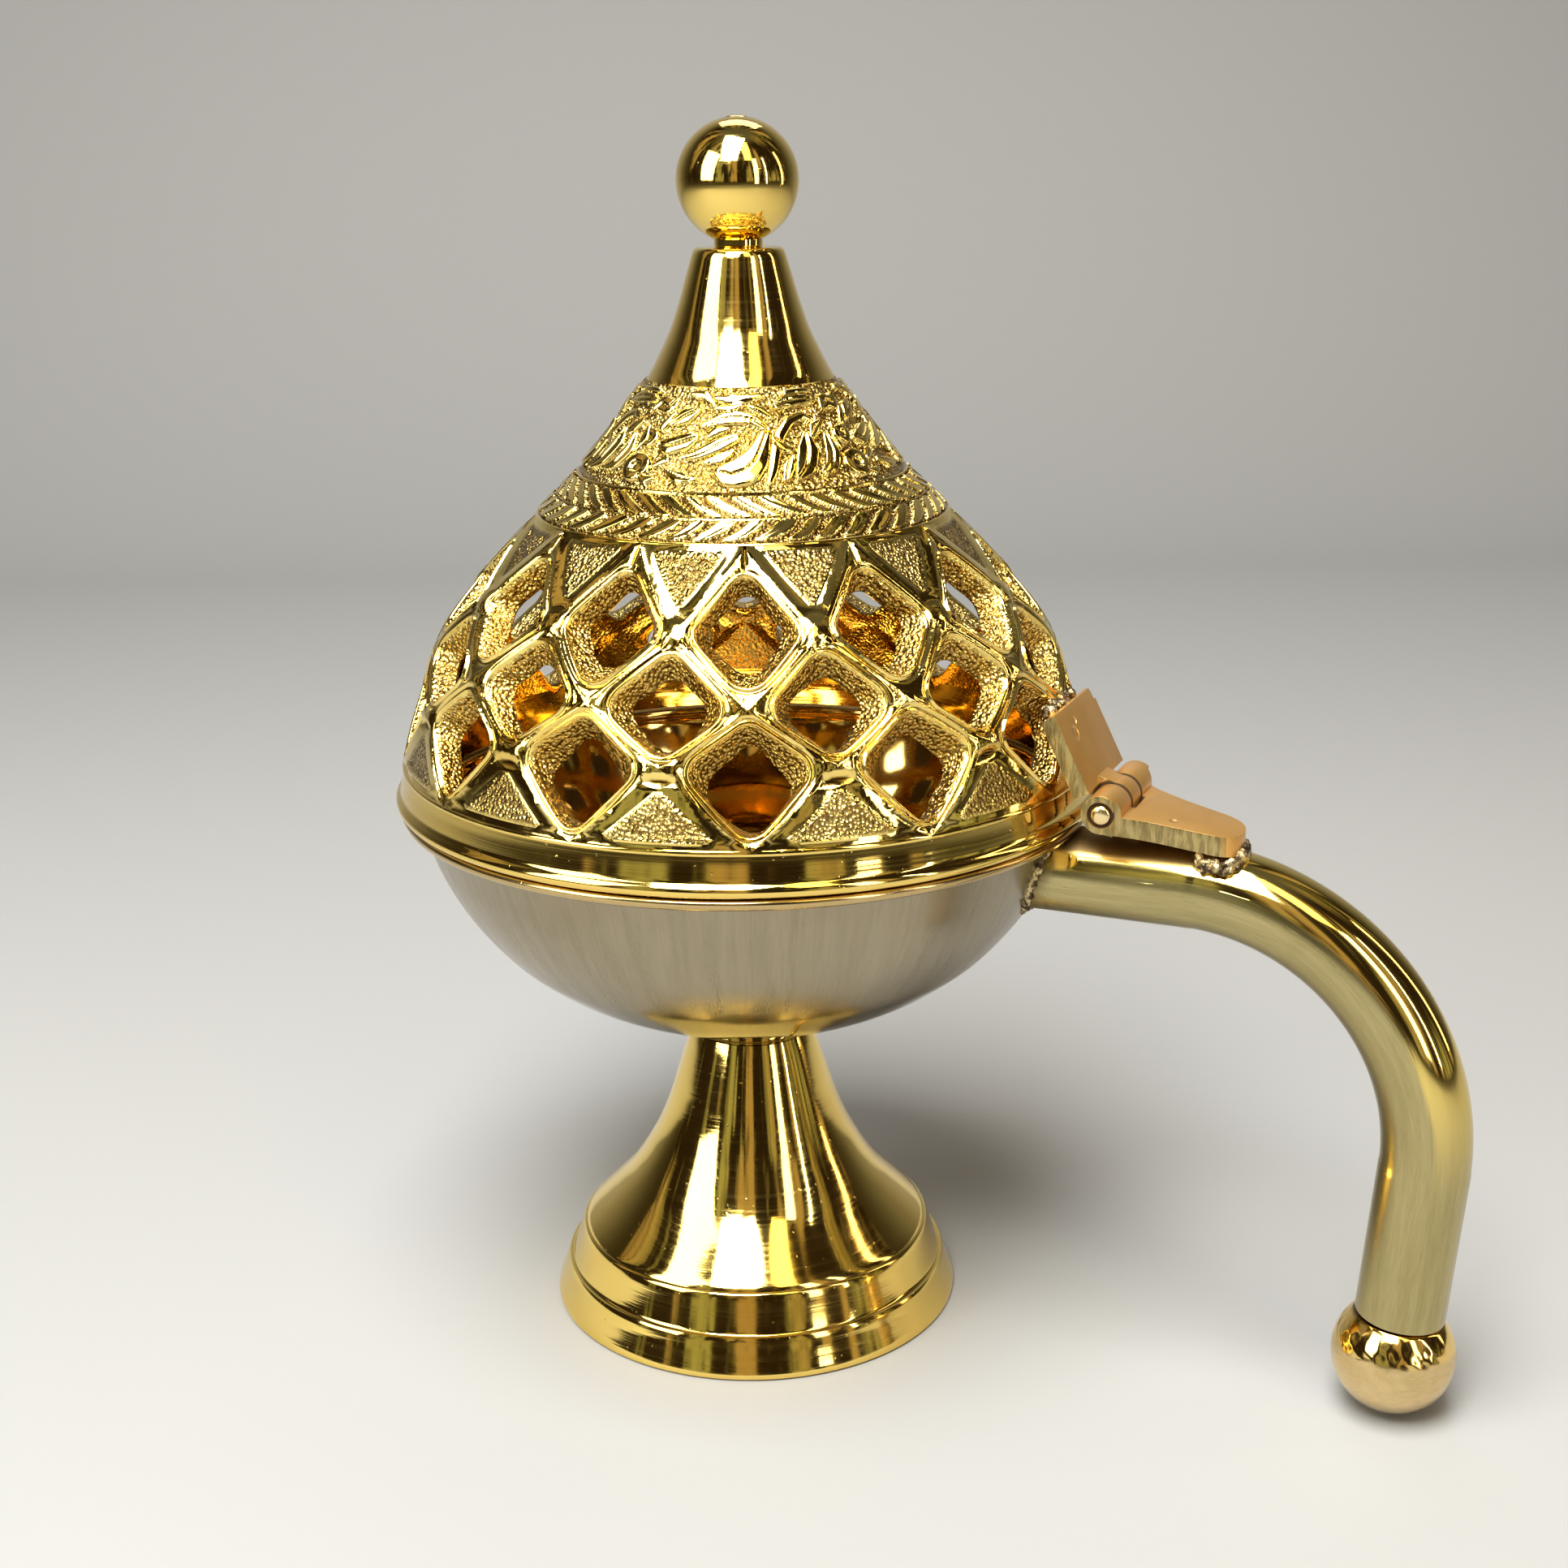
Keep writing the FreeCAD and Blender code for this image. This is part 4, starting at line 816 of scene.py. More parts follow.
def motif(o):
    add = lambda spine, width, high=0.55, vein=0.0: LEAVES.append(
        ([(a + o, z) for a, z in spine], [w_ * 1.3 + 0.10 for w_ in width], high + 0.24, vein))
    add([(-8, 127.2), (-4, 126.9), (1, 127.4), (5, 128.6), (8, 130.4), (11, 132.2)], (0.7, 1.55, 1.75, 1.35, 0.8, 0.35), 0.62, 0.5)
    add([(11, 132.2), (6, 133.2), (-2, 133.7), (-10, 133.4), (-17, 132.6)], (0.35, 0.6, 0.8, 0.7, 0.25), 0.5, 0.3)
    add([(-3, 131.2), (-10, 130.4), (-18, 129.2), (-24, 128.6)], (0.5, 0.75, 0.6, 0.2), 0.5, 0.3)
    add([(9, 126.0), (11, 127.4), (13, 129.4), (16, 131.4), (22, 133.0), (29, 133.6), (35, 132.6)], (0.3, 0.5, 0.55, 0.55, 0.5, 0.45, 0.2), 0.45)
    add([(20, 126.4), (24, 127.6), (27, 129.4), (28, 131.4)], (0.4, 1.15, 1.2, 0.3), 0.55, 0.5)
    add([(31, 126.6), (35, 127.4), (38, 129.0), (38, 131.0)], (0.3, 0.8, 0.9, 0.3), 0.52, 0.4)
    add([(40, 135.2), (33, 135.6), (24, 135.4), (16, 134.8)], (0.25, 0.7, 0.75, 0.25), 0.5, 0.3)
    add([(12, 136.2), (4, 135.9), (-6, 135.7), (-14, 135.9)], (0.2, 0.5, 0.55, 0.2), 0.42)
    add([(-17, 126.2), (-23, 126.5), (-29, 127.2)], (0.25, 0.7, 0.25), 0.42, 0.3)
    add([(-20, 131.2), (-25, 130.6), (-31, 130.0), (-36, 130.2)], (0.3, 0.95, 1.0, 0.3), 0.58, 0.5)
    add([(-22, 134.4), (-28, 133.6), (-33, 132.6)], (0.3, 0.9, 0.3), 0.55, 0.4)
    add([(-31, 128.4), (-35, 127.6)], (0.5, 0.3), 0.4)
    add([(-43, 127.3), (-42.6, 127.3)], (1.75, 1.75), 0.62, -1.0)
    add([(-43, 130.8), (-42.7, 130.8)], (1.15, 1.15), 0.6, -0.6)
    add([(-47, 134.2), (-43, 135.0), (-38, 134.6), (-35, 135.6)], (0.3, 0.9, 0.85, 0.25), 0.55, 0.4)
    add([(-27, 136.3), (-20, 136.4), (-14, 135.2)], (0.25, 0.5, 0.2), 0.45)
    add([(24, 136.5), (32, 136.6), (40, 136.4)], (0.2, 0.4, 0.2), 0.4)
    add([(-14, 128.3), (-9, 128.8), (-4, 129.6)], (0.2, 0.62, 0.2), 0.45, 0.3)
    add([(15, 126.2), (17, 127.6), (19, 128.8)], (0.25, 0.65, 0.2), 0.45, 0.3)
    add([(13, 131.0), (17, 129.8), (21, 129.6)], (0.2, 0.5, 0.2), 0.42)
    add([(31, 131.0), (34, 131.9), (38, 132.6)], (0.25, 0.7, 0.3), 0.5, 0.3)
    add([(-15, 131.2), (-12, 132.0), (-6, 132.3)], (0.2, 0.5, 0.2), 0.42)
    add([(-39, 126.2), (-36, 126.0), (-33, 126.2)], (0.2, 0.5, 0.2), 0.4)
    add([(-38, 132.2), (-34, 133.9)], (0.45, 0.3), 0.45)
    add([(-13, 134.7), (-6, 134.7), (0, 135.0)], (0.2, 0.45, 0.2), 0.42)
    add([(4, 134.9), (9, 134.5), (14, 133.6)], (0.25, 0.5, 0.2), 0.42)
    add([(43, 129.2), (44, 130.6), (44, 132.2)], (0.2, 0.55, 0.2), 0.45)


for q_ in range(4):
    motif(90.0 * q_ + AZ0)


def foliage(T, S):
    r = np.interp(S, S_TAB, dense[:, 0])
    h = np.full(T.shape, -0.28)
    h = h + 0.07 * np.sin(np.radians(T) * 61 + 3 * np.sin(S * 2.3)) * np.sin(S * 5.3 + 2 * np.sin(np.radians(T) * 19))
    ground = h.copy()
    for spine, widths, high, vein in LEAVES:
        sp = np.array([(a, s_of(z)) for a, z in spine])
        n = 9 * (len(sp) - 1)
        tt = np.linspace(0, len(sp) - 1, n + 1)
        ang = np.interp(tt, range(len(sp)), sp[:, 0])
        ss = np.interp(tt, range(len(sp)), sp[:, 1])
        k = np.ones(5) / 5
        if n > 9:
            ang = np.convolve(np.pad(ang, 2, mode="reflect", reflect_type="odd"), k, "valid")
            ss = np.convolve(np.pad(ss, 2, mode="reflect", reflect_type="odd"), k, "valid")
        ww = np.interp(tt, range(len(sp)), widths)
        cols = np.where(np.abs((T[0] - ang.mean() + 180) % 360 - 180) < 34)[0]
        t_, s_, r_ = T[:, cols], S[:, cols], r[:, cols]
        best = np.full(t_.shape, 9.0)
        centre = np.full(t_.shape, 9.0)
        for i in range(len(ang) - 1):
            dt = (t_ - ang[i] + 180) % 360 - 180
            x, y = np.radians(dt) * r_, s_ - ss[i]
            ex, ey = np.radians(ang[i + 1] - ang[i]) * r_, ss[i + 1] - ss[i]
            l2 = ex * ex + ey * ey + 1e-9
            f = np.clip((x * ex + y * ey) / l2, 0, 1)
            dd = np.hypot(x - f * ex, y - f * ey)
            w_ = ww[i] + (ww[i + 1] - ww[i]) * f
            rel = dd / w_
            better = rel < best
            best = np.where(better, rel, best)
            centre = np.where(better, dd, centre)
        body = smooth01((1.10 - best) / 0.30)
        dome_ = 0.16 * np.clip(1 - best, 0, 1)
        hh = -0.28 + high * body + dome_ * body
        if vein > 0:
            hh = hh - vein * 0.62 * smooth01((0.24 - centre) / 0.2) * smooth01((0.9 - best) / 0.3)
        elif vein < 0:
            hh = hh + vein * 0.45 * smooth01((0.45 - best) / 0.25)
        sub = h[:, cols]
        h[:, cols] = np.where(body > 0.02, np.maximum(np.where(best < 1.0, hh, sub), hh), sub)
    lo = smooth01((0.35 - (S - S_FOL0)) / 0.3)
    h = np.maximum(h, -0.3 + 0.5 * lo)
    hi = smooth01((0.75 - (S_FOL1 - S)) / 0.6)
    h = h * (1 - hi) + hi * (-0.22 + 0.10 * np.sin(np.radians(T) * 37) * np.sin(np.radians(T) * 11))
    g = smooth01((-0.02 - h) / 0.2)
    # painted shade in the sunk ground and along the leaf outlines
    edge = smooth01((0.30 - np.abs(h - 0.02)) / 0.25)
    return h, g, np.maximum(g * 0.35, edge * 0.75)


band_piece("lid_foliage", S_FOL0, S_FOL1, 84, 1000, foliage, 2.6)

# plain band with the rounded flange, and the smooth cone
band = spline([
    (45.6, 79.3), (49.0, 79.3), (49.62, 79.42), (49.95, 79.85), (49.98, 80.35), (49.75, 80.8), (49.42, 81.15),
    (49.28, 81.5), (49.12, 82.4), (48.92, 83.5), (48.76, 84.55), (48.86, 84.8), (48.74, 85.12), (48.3, 85.3),
    (45.1, 85.3), (45.3, 82.0), (45.6, 79.3)], corners=(1, 7, 10, 13, 14), step=0.25)
flange = revolve("lid_band", band[:-1], 288, 32)
finish(flange, M_POL, "lid", ["lid_dome"])
cone = spline([
    (10.2, 136.6), (12.75, 136.9), (12.85, 137.35), (12.3, 138.2), (11.45, 139.8), (10.5, 141.7), (9.55, 143.7),
    (8.7, 146.0), (7.9, 148.5), (7.1, 151.2), (6.4, 153.5), (6.12, 154.15), (5.75, 154.5), (5.2, 154.6), (1.6, 154.6),
    (1.6, 151.6), (4.9, 151.6), (5.3, 149.0), (6.2, 145.4), (7.2, 142.0), (8.7, 139.0), (10.2, 136.6)],
    corners=(1, 2, 10, 14, 15, 16), step=0.3)
cone_ob = revolve("lid_cone", cone[:-1], 224, 32)
finish(cone_ob, M_POL, "lid", ["lid_dome"])

# ------------------------------------------------------------------ finial
R, CZ = 8.25, 163.2
ball = [(0.0, 154.62), (3.15, 154.62), (3.3, 154.8), (3.3, 155.5)]
a0 = math.pi - math.asin(3.3 / R)
a1 = math.asin(1.55 / R)
ball += [(R * math.sin(a0 + (a1 - a0) * k / 60), CZ + R * math.cos(a0 + (a1 - a0) * k / 60)) for k in range(61)]
top = CZ + R * math.cos(a1)
ball += [(1.35, top - 0.06), (0.0, top - 0.06)]
fin = revolve("finial_ball_turned", ball, 160, 32)
finish(fin, M_POL, "lid", ["finial_ball"])
tip = revolve("finial_rivet", [
    (0, 146.4), (1.3, 146.4), (1.58, 146.7), (1.58, top - 0.1), (1.45, top + 0.05), (1.1, top + 0.18),
    (0.6, top + 0.27), (0.0, top + 0.3)], 64, 32)
finish(tip, M_PIN, "lid", ["finial_stud"])

# ------------------------------------------------------------------ handle tube
BX, BZ, BR, LEAN = 64.3, 72.4 - 33.6, 33.6, math.radians(4.5)
end_b = np.array([BX + BR * math.cos(LEAN), BZ - BR * math.sin(LEAN)])
down = np.array([-math.sin(LEAN), -math.cos(LEAN)])
grip_end = end_b + down * 21.3
path = [np.array([42.5 + (BX - 42.5) * k / 22, 72.4]) for k in range(22)]
path += [np.array([BX + BR * math.cos(a), BZ + BR * math.sin(a)]) for a in np.linspace(math.pi / 2, -LEAN, 90)]
path += [end_b + down * 21.3 * k / 24 for k in range(1, 25)]
path = np.array(path)
tan = np.gradient(path, axis=0)
tan /= np.linalg.norm(tan, axis=1)[:, None]
runs = np.concatenate([[0], np.cumsum(np.linalg.norm(np.diff(path, axis=0), axis=1))])
seg = 96
tv, tf, t_run, t_a, t_b = [], [], [], [], []


def bowl_radius(z):
    o = bowl_out[:300]
    o = o[: int(np.argmax(o[:, 1]))]
    return np.interp(z, o[:, 1], o[:, 0])


def tube_ring(c, t, rad, run, cope=False):
    """Ring of the tube; the first ring follows the bowl's wall."""
    nx, nz = -t[1], t[0]
    for k in range(seg):
        a = 2 * math.pi * k / seg
        # the section is a circle; where the tube is bent the radius passed in is very slightly smaller
        y = rad * math.cos(a)
        o = rad * math.sin(a)
        x, z = c[0] + nx * o, c[1] + nz * o
        if cope:
            zz_ = min(z, 76.9)
            x = math.sqrt(max(bowl_radius(zz_) ** 2 - y * y, 0)) - 0.35
        tv.append((x, y, z))
        t_run.append(run)
        t_a.append(math.cos(a))
        t_b.append(math.sin(a))


first = int(np.argmax(path[:, 0] > 47.8))
use = list(range(first, len(path)))
bend_flat = lambda i: 5.92 if 24 < i < 110 else 6.0
tube_ring(path[first], tan[first], 6.0, runs[first] - 3, cope=True)
for i in use:
    tube_ring(path[i], tan[i], bend_flat(i), runs[i])
last = path[-1]
tube_ring(last + tan[-1] * 0.0, tan[-1], 5.9, runs[-1])
tube_ring(last + tan[-1] * 0.0, tan[-1], 4.8, runs[-1])
for i in reversed(use):
    tube_ring(path[i], tan[i], 4.8, runs[i])
tube_ring(path[first], tan[first], 4.8, runs[first] - 3, cope=True)
n = len(tv) // seg
for i in range(n):
    j = (i + 1) % n
    for k in range(seg):
        l = (k + 1) % seg
        tf.append((i * seg + k, i * seg + l, j * seg + l, j * seg + k))
tube = make_object("handle_tube_bent", np.array(tv), tf, 40, {"run": t_run, "around": t_a, "around2": t_b})
finish(tube, M_TUBE, "base", ["handle_tube"])

grip = place(grip_end[0], grip_end[1], 4.5)
RB = 8.3
hb = [(0.0, -6.3 + 2.4), (1.6, -6.3 + 2.4), (1.6, -0.02), (5.3, -0.02), (5.3, -0.3), (5.75, -0.42)]
b0 = math.asin(5.9 / RB)
hb += [(RB * math.sin(b0 + (math.pi - b0) * k / 60) if k < 60 else 0.0, -6.3 + RB * math.cos(b0 + (math.pi - b0) * k / 60)) for k in range(61)]


def dents(ang, z, r):
    """Light tool flats in the polished shoulder of the ball."""
    zone = math.exp(-((z + 3.0) / 1.3) ** 2) if r > 5.5 else 0.0
    return zone * (0.045 * np.sin(ang * 9) + 0.035 * np.sin(ang * 17 + z * 3) + 0.02 * np.sin(ang * 31))


hball = revolve("handle_ball_turned", hb, 160, 32, axis=grip, wobble=dents)
finish(hball, M_BALL, "base", ["handle_ball"])

# ------------------------------------------------------------------ hinge
HX, HZ = 54.7, 83.4


def prism(name, outline, y0, y1, bevel, mat, body, nodes, slot, holes=(), seg_b=3, sub=0):
    """Closed outline in XZ carried from y0 to y1."""
    n = len(outline)
    verts = [(x, y, z) for y in (y0, y1) for x, z in outline]
    faces = [tuple(range(n)), tuple(range(2 * n - 1, n - 1, -1))]
    faces += [(i, (i + 1) % n, n + (i + 1) % n, n + i) for i in range(n)]
    return verts, faces


def solid_from(parts, name, bevel=0.25, voxel=None, angle=35):
    """Boolean union of simple closed shapes."""
    obs = []
    for i, (verts, faces) in enumerate(parts):
        obs.append(make_object(name + "_p%d" % i, np.array(verts, float), faces))
    base = obs[0]
    for other in obs[1:]:
        m = base.modifiers.new("u", "BOOLEAN")
        m.operation = "UNION"
        m.solver = "EXACT"
        m.object = other
        apply_all(base)
    for other in obs[1:]:
        bpy.data.objects.remove(other, do_unlink=True)
    base.name = name
    return base


def apply_all(ob):
    dg = bpy.context.evaluated_depsgraph_get()
    dg.update()
    me = bpy.data.meshes.new_from_object(ob.evaluated_get(dg))
    ob.modifiers.clear()
    old = ob.data
    ob.data = me
    bpy.data.meshes.remove(old)


def cut(base, verts, faces):
    tool = make_object("tool", np.array(verts, float), faces)
    m = base.modifiers.new("c", "BOOLEAN")
    m.operation = "DIFFERENCE"
    m.solver = "EXACT"
    m.object = tool
    apply_all(base)
    bpy.data.objects.remove(tool, do_unlink=True)


def round_edges(ob, width, angle=28, segments=3, smooth=40):
    m = ob.modifiers.new("b", "BEVEL")
    m.width = width * MM
    m.segments = segments
    m.limit_method = "ANGLE"
    m.angle_limit = math.radians(angle)
    m.harden_normals = False
    apply_all(ob)
    ob.data.shade_smooth()
    ob.data.set_sharp_from_angle(angle=math.radians(smooth))


def circle_pts(r, n=64, cx=HX, cz=HZ, start=0.0):
    return [(cx + r * math.cos(start + 2 * math.pi * k / n), cz + r * math.sin(start + 2 * math.pi * k / n)) for k in range(n)]


def box_from(outline, y0, y1):
    return prism("", outline, y0, y1, 0, None, None, None, None)


def plan_box(outline, z0, z1):
    n = len(outline)
    verts = [(x, y, z) for z in (z0, z1) for x, y in outline]
    faces = [tuple(range(n))[::-1], tuple(range(n, 2 * n))] + [(i, (i + 1) % n, n + (i + 1) % n, n + i) for i in range(n)]
    return verts, faces


def leaf_top(x):
    return HZ + 0.09 - 0.148 * (x - HX)


near, far = -9.1, 9.1
barrel = box_from(circle_pts(2.6), near, far)
tongue = box_from([(HX, leaf_top(HX)), (73.0, leaf_top(73.0)), (73.0, leaf_top(73.0) - 2.75), (HX + 0.4, HZ - 2.55)], near, far)
leaf = solid_from([barrel, tongue], "hinge_leaf_lower")
tip_curve = spline([
    (56.4, 8.3), (56.9, 7.9), (58.4, 6.8), (61.0, 5.7), (64.0, 4.7), (67.0, 3.9), (69.4, 3.2), (70.9, 2.1), (71.8, 0.6),
    (72.1, -1.2), (71.9, -3.2), (71.2, -4.7), (69.8, -5.7), (67.0, -6.2), (64.0, -6.6), (61.0, -7.1), (58.4, -7.8),
    (56.4, -8.6)], step=0.6)
keep = [(56.4, 11.0)] + [tuple(p) for p in tip_curve] + [(56.4, -11.0), (76.0, -11.0), (76.0, 11.0)]
cut(leaf, *plan_box(keep[::-1], 70, 92))
cut(leaf, *plan_box([(50.0, -2.8), (57.8, -2.8), (57.8, 2.2), (50.0, 2.2)], 70, 92))
cut(leaf, *box_from(circle_pts(1.36, 48), -12, 12))
cut(leaf, *box_from(circle_pts(1.78, 48), -9.6, -8.72))
cut(leaf, *box_from(circle_pts(1.78, 48), 8.72, 9.6))
round_edges(leaf, 0.28)
finish(leaf, M_PLATE, "base", ["handle_leaf"])

plate = box_from([(52.9, 86.0), (48.25, 95.4), (47.85, 95.9), (47.3, 95.75), (46.28, 94.7), (50.93, 85.02)], -8.4, 8.6)
web = box_from([(50.93, 85.02), (52.5, 86.8), (54.9, 85.95), (54.7, 83.4), (53.4, 81.3)][::-1], -2.5, 1.9)
mid_b = box_from(circle_pts(2.6), -2.5, 1.9)
lid_leaf = solid_from([plate, web, mid_b], "hinge_leaf_upper")
cut(lid_leaf, *box_from(circle_pts(1.40, 48), -12, 12))
# the far upper corner is filed off
cut(lid_leaf, *box_from([(44.0, 92.0), (52.0, 96.2), (52.0, 99.0), (44.0, 99.0)], 7.9, 9.5))
round_edges(lid_leaf, 0.30)
finish(lid_leaf, M_PLATE, "lid", ["lid_leaf"])

pin_axis = Matrix.Translation((HX, 0, HZ)) @ Matrix.Rotation(math.radians(90), 4, "X")
pin = revolve("hinge_pin_riveted", [
    (0, -9.42), (0.55, -9.40), (1.0, -9.30), (1.25, -9.12), (1.33, -8.95), (1.33, 8.95), (1.25, 9.12), (1.0, 9.30), (0.55, 9.40), (0, 9.42)],
    64, 32, axis=pin_axis)
finish(pin, M_PIN, "base", ["hinge_pin"])


# ------------------------------------------------------------------ braze
def lump(name, blobs, voxel, noise_amp, seed, body, nodes, clamp=None):
    """Fused droplets: overlapping balls remeshed into one skin, then roughened."""
    bm = bmesh.new()
    for x, y, z, r in blobs:
        bmesh.ops.create_icosphere(bm, subdivisions=3, radius=r * MM, matrix=Matrix.Translation((x * MM, y * MM, z * MM)))
    me = bpy.data.meshes.new(name)
    bm.to_mesh(me)
    bm.free()
    ob = bpy.data.objects.new(name, me)
    bpy.context.scene.collection.objects.link(ob)
    m = ob.modifiers.new("r", "REMESH")
    m.mode = "VOXEL"
    m.voxel_size = voxel * MM
    apply_all(ob)
    co = np.array([v.co for v in ob.data.vertices]) / MM
    no = np.array([v.normal for v in ob.data.vertices])
    g = np.random.default_rng(seed)
    d = np.zeros(len(co))
    for k in range(14):
        fv = g.normal(size=3)
        fv *= (1.6 + 3.6 * (k / 14)) / np.linalg.norm(fv)
        d += np.sin(co @ fv + g.uniform(0, 6.28)) / (1.2 + 0.35 * k)
    co = co + no * (d * noise_amp / 2.6)[:, None]
    if clamp is not None:
        co = clamp(co)
    ob.data.vertices.foreach_set("co", (co * MM).astype(np.float32).ravel())
    ob.data.update()
    ob.data.shade_smooth()
    finish(ob, M_BRAZE, body, nodes)
    return ob


blobs = []
g = np.random.default_rng(3)
for k in range(150):
    a = 2 * math.pi * k / 150
    up = math.sin(a)
    rad = 6.0 + (0.55 + 0.35 * (up > 0)) * g.uniform(-0.3, 1.0)
    y, z = rad * math.cos(a), 72.4 + rad * math.sin(a)
    zz_ = min(z, 77.0)
    x = math.sqrt(max(bowl_radius(zz_) ** 2 - y * y, 0))
    blobs.append((x + 0.10 + 0.35 * g.uniform(-1, 1), y, min(z, 78.3), 0.34 + 0.36 * g.uniform(0, 1) ** 2))
lump("handle_braze_bead", blobs, 0.16, 0.12, 11, "base", ["handle_braze"])


def saddle_z(x, y):
    return BZ + math.sqrt(max((BR + 6.0) ** 2 - (x - BX) ** 2, 0)) - (y * y) / 12.5


blobs = []
for k in range(90):
    x = 66.4 + 5.6 * g.uniform(0, 1)
    y = -1.4 + (3.7 - 0.3 * (x - 66)) * g.uniform(-1, 1)
    blobs.append((x, y, saddle_z(x, y) + 0.5 * g.uniform(0, 1), 0.5 + 0.4 * g.uniform(0, 1)))
for k in range(70):
    a = math.radians(-125 + 200 * k / 69)
    x = 68.8 + 3.5 * math.cos(a) + 0.25 * g.uniform(-1, 1)
    y = -1.2 + 4.1 * math.sin(a) + 0.25 * g.uniform(-1, 1)
    lift = min(leaf_top(x) - 2.2 - saddle_z(x, y), 1.6)
    blobs.append((x, y, saddle_z(x, y) + lift * g.uniform(0.0, 1.0), 0.42 + 0.36 * g.uniform(0, 1)))
lump("leaf_braze_bead", blobs, 0.16, 0.14, 12, "base", ["leaf_braze"])

blobs = []
for cx, cy, cz_, n_, sp in ((46.2, -2.2, 95.0, 26, 1.7), (46.3, 4.6, 94.9, 20, 1.4), (45.9, -5.6, 95.3, 12, 1.0)):
    for k in range(n_):
        blobs.append((cx + 0.8 * g.uniform(-1, 1), cy + sp * g.uniform(-1, 1), cz_ + sp * 0.75 * g.uniform(-1, 1), 0.36 + 0.4 * g.uniform(0, 1) ** 2))
lump("lid_braze_beads", blobs, 0.16, 0.14, 13, "lid", ["lid_leaf_braze"])

# ------------------------------------------------------------------ fasteners and hidden pieces keep their CAD shape
for name in ("bowl_bolt", "bowl_washer", "foot_nut", "finial_washer", "finial_nut"):
    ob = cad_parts[name]
    for i in range(max(1, len(ob.material_slots))):
        if len(ob.material_slots) == 0:
            ob.data.materials.append(M_ZINC)
        else:
            ob.material_slots[i].material = M_ZINC
for name in ("tube_plug", "ball_stud"):
    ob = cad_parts[name]
    for i in range(len(ob.material_slots)):
        ob.material_slots[i].material = M_PIN

# ------------------------------------------------------------------ floor, backdrop, light, camera
def plain(name, colour, rough=0.75):
    mat, nt, b = material(name)
    b.inputs["Metallic"].default_value = 0.0
    b.inputs["Base Color"].default_value = colour + (1.0,)
    b.inputs["Roughness"].default_value = rough
    return mat


PHI = math.radians(24.8)


def cam_vec(a, b, z=0.0):
    """Camera-aligned plan directions (right, away) to the object's frame."""
    return Vector((a * math.cos(PHI) - b * math.sin(PHI), a * math.sin(PHI) + b * math.cos(PHI), z))


sweep_pts = [(-3.2, 0.0)] + [(0.55 + 0.25 * math.sin(t), 0.25 - 0.25 * math.cos(t)) for t in np.linspace(0, math.pi / 2, 24)] + [(0.80, 1.5)]
sv, sf = [], []
for b_, z_ in sweep_pts:
    for a_ in (-3.6, 3.6):
        v = cam_vec(a_, b_, z_ - 0.0001)
        sv.append(tuple(v))
for i in range(len(sweep_pts) - 1):
    sf.append((2 * i, 2 * i + 1, 2 * i + 3, 2 * i + 2))
me = bpy.data.meshes.new("studio_sweep")
me.from_pydata(sv, [], sf)
me.shade_smooth()
sweep = bpy.data.objects.new("studio_sweep", me)
bpy.context.scene.collection.objects.link(sweep)
me.materials.append(plain("sweep_pale", (0.28, 0.276, 0.272)))


def area(name, loc, target, size, power, colour=(1, 1, 1)):
    data = bpy.data.lights.new(name, "AREA")
    data.shape = "RECTANGLE"
    data.size, data.size_y = size
    data.energy = power
    data.color = colour
    ob = bpy.data.objects.new(name, data)
    bpy.context.scene.collection.objects.link(ob)
    ob.location = loc
    ob.rotation_euler = (Vector(target) - Vector(loc)).to_track_quat("-Z", "Y").to_euler()
    return ob


mid_p = (0.0, 0, 0.09)


def polar(az, el, dist):
    """Place seen from the object: azimuth from the camera's side, plus to the right, and height angle."""
    a, e = math.radians(az), math.radians(el)
    v = cam_vec(dist * math.cos(e) * math.sin(a), -dist * math.cos(e) * math.cos(a), dist * math.sin(e))
    return v + Vector(mid_p)


area("key_left", polar(-58, 28, 0.75), mid_p, (0.34, 0.60), 3.9, (1.0, 0.99, 0.88))
area("right_panel", polar(36, 20, 0.75), mid_p, (0.10, 0.55), 0.85, (1.0, 0.98, 0.90))
area("right_thin", polar(56, 20, 0.75), mid_p, (0.02, 0.55), 0.5, (1.0, 0.98, 0.92))
area("right_edge", polar(92, 20, 0.75), mid_p, (0.05, 0.55), 0.5, (1.0, 0.78, 0.50))
area("front_high", polar(-22, 44, 0.75), mid_p, (0.16, 0.16), 1.3, (1.0, 0.995, 0.80))
area("warm_high", polar(24, 56, 0.75), mid_p, (0.15, 0.42), 0.9, (1.0, 0.78, 0.30))
area("top", polar(-18, 63, 0.80), mid_p, (0.38, 0.64), 19.0, (0.97, 0.99, 1.0))
area("back_top", polar(175, 55, 0.9), mid_p, (0.50, 0.30), 1.2, (1.0, 0.98, 0.95))

world = bpy.data.worlds.new("studio")
bpy.context.scene.world = world
world.use_nodes = True
wn = world.node_tree
wn.nodes.clear()
wout = wn.nodes.new("ShaderNodeOutputWorld")
bg = wn.nodes.new("ShaderNodeBackground")
tc = wn.nodes.new("ShaderNodeTexCoord")
sepw = wn.nodes.new("ShaderNodeSeparateXYZ")
wn.links.new(tc.outputs["Generated"], sepw.inputs[0])
wx, wy, wz = sepw.outputs
flat = math_node(wn, "SQRT", math_node(wn, "ADD", math_node(wn, "ADD", math_node(wn, "MULTIPLY", wx, wx), math_node(wn, "MULTIPLY", wy, wy)), 0.0004))
ring = wn.nodes.new("ShaderNodeCombineXYZ")
wn.links.new(math_node(wn, "DIVIDE", wx, flat), ring.inputs[0])
wn.links.new(math_node(wn, "DIVIDE", wy, flat), ring.inputs[1])
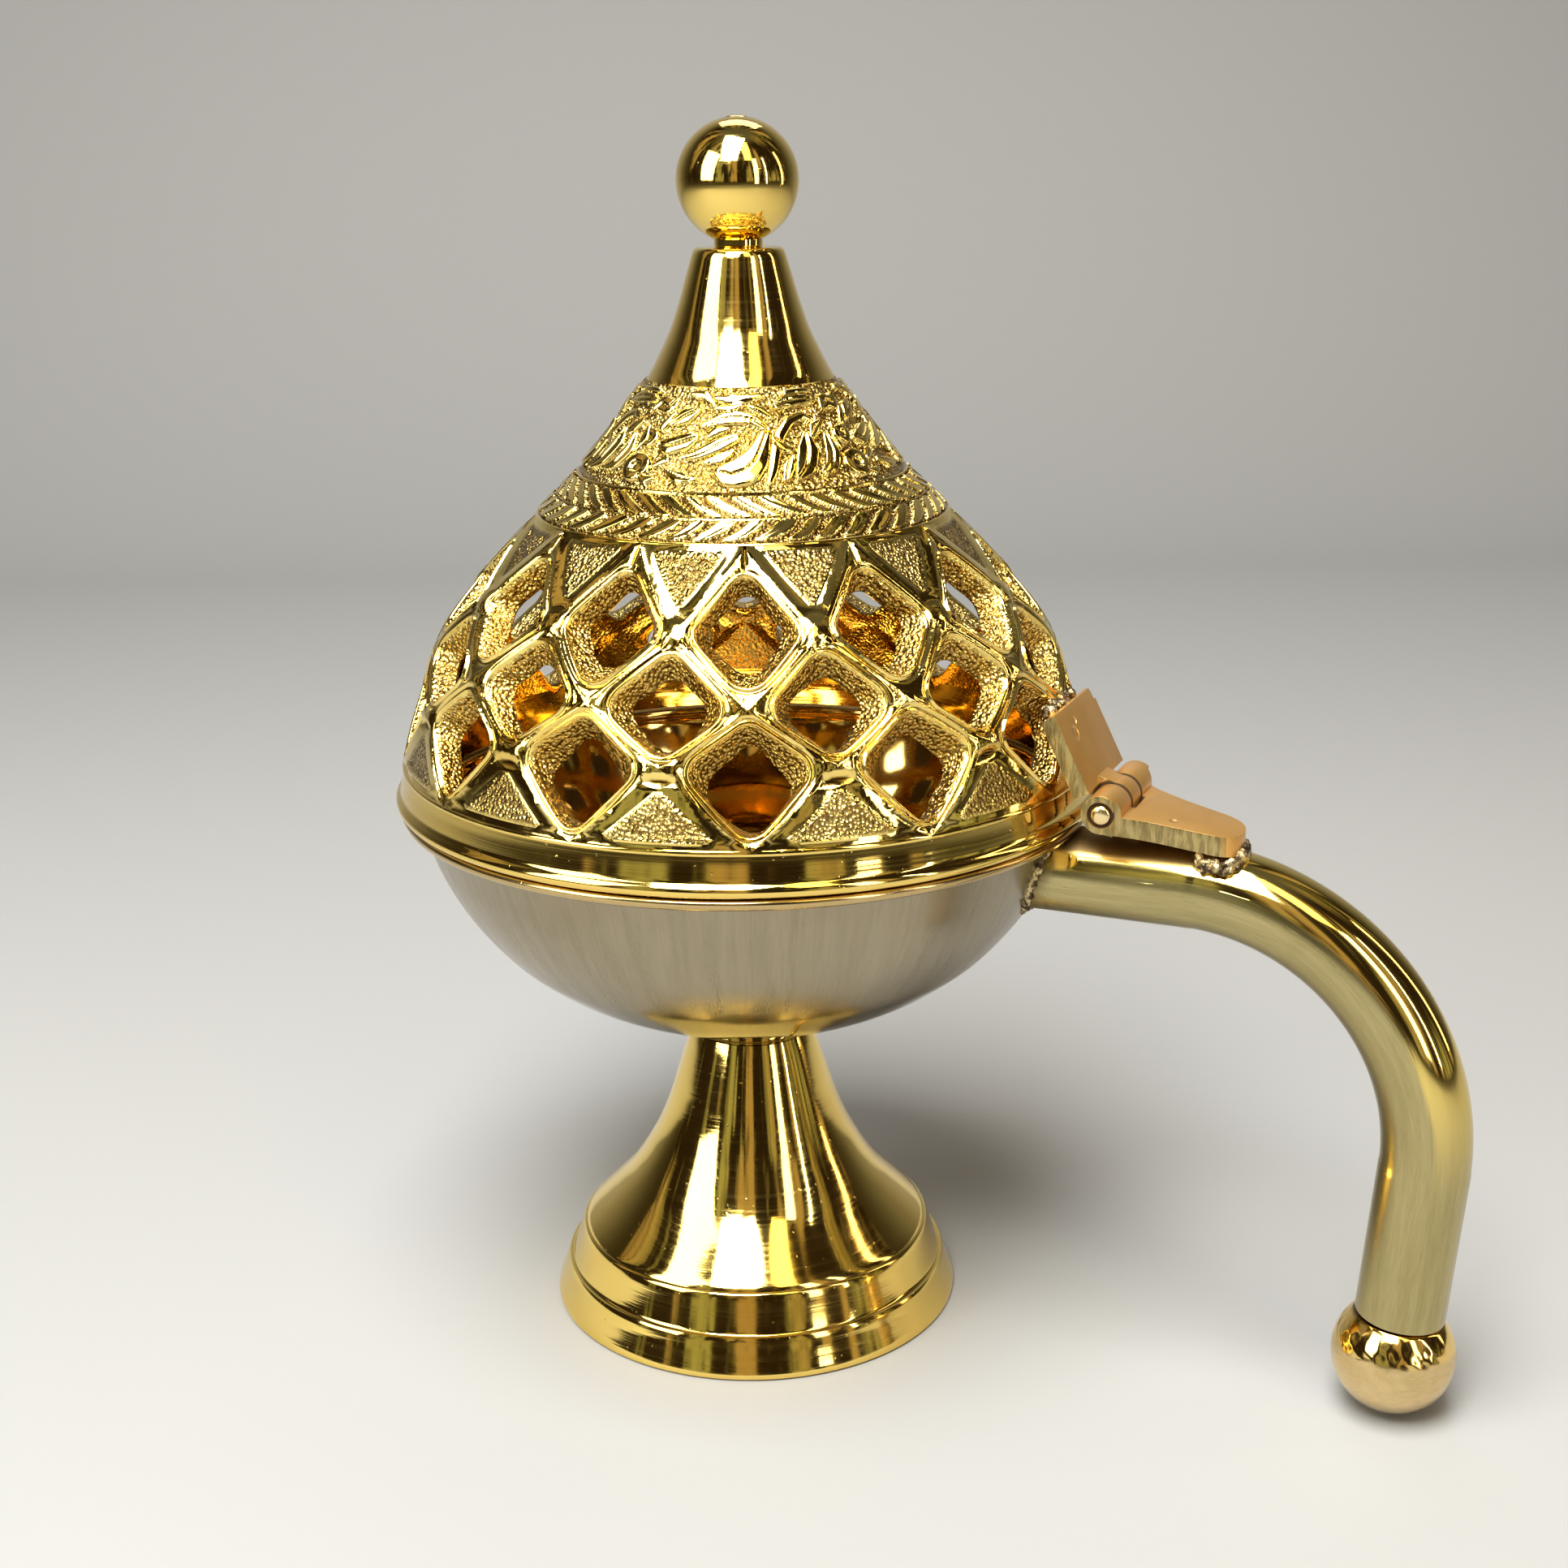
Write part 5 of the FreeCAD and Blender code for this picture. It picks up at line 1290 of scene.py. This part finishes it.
wn.links.new(math_node(wn, "MULTIPLY", wz, 0.22), ring.inputs[2])
slats = ramp(wn, noise(wn, ring.outputs[0], 5.5, 3.0, 0.6), 0.46, 0.60)
hue = noise(wn, ring.outputs[0], 2.6, 1.0)
band = mix_colour(wn, ramp(wn, hue, 0.40, 0.60), (0.52, 0.52, 0.27), (0.60, 0.44, 0.22))
low = mix_colour(wn, slats, (0.030, 0.019, 0.011), band)
upw = ramp(wn, wz, 0.86, 0.98)
colw = mix_colour(wn, upw, low, (0.14, 0.135, 0.12))
colw = mix_colour(wn, ramp(wn, wz, 0.02, -0.05), colw, (0.05, 0.04, 0.03))
# looked at directly, the surroundings are one plain pale tone
seen = wn.nodes.new("ShaderNodeLightPath")
colw = mix_colour(wn, seen.outputs["Is Camera Ray"], colw, (0.30, 0.292, 0.28))
wn.links.new(colw, bg.inputs["Color"])
bg.inputs["Strength"].default_value = 0.8
wn.links.new(bg.outputs[0], wout.inputs[0])

F_PX, L_, H_ = 2712.9, 0.3041, 0.1710
PITCH, PAN, ROLL = math.radians(16.82), math.radians(0.98), math.radians(-0.73)
cp = math.cos(PITCH)
fwd = cam_vec(math.sin(PAN) * cp, math.cos(PAN) * cp, -math.sin(PITCH))
right = cam_vec(math.cos(PAN), -math.sin(PAN), 0.0)
upv = right.cross(fwd)
r2 = right * math.cos(ROLL) + upv * math.sin(ROLL)
u2 = -right * math.sin(ROLL) + upv * math.cos(ROLL)
cam_data = bpy.data.cameras.new("photo_camera")
cam_data.sensor_fit = "HORIZONTAL"
cam_data.sensor_width = 36.0
cam_data.lens = 36.0 * F_PX / 1932.0
cam_data.clip_start = 0.01
cam = bpy.data.objects.new("photo_camera", cam_data)
bpy.context.scene.collection.objects.link(cam)
rot = Matrix((r2, u2, -fwd)).transposed()
cam.matrix_world = Matrix.Translation(cam_vec(0, -L_, H_)) @ rot.to_4x4()
bpy.context.scene.camera = cam
bpy.context.scene.view_settings.view_transform = "Standard"
bpy.context.scene.view_settings.look = "None"
bpy.context.scene.view_settings.exposure = 0.0
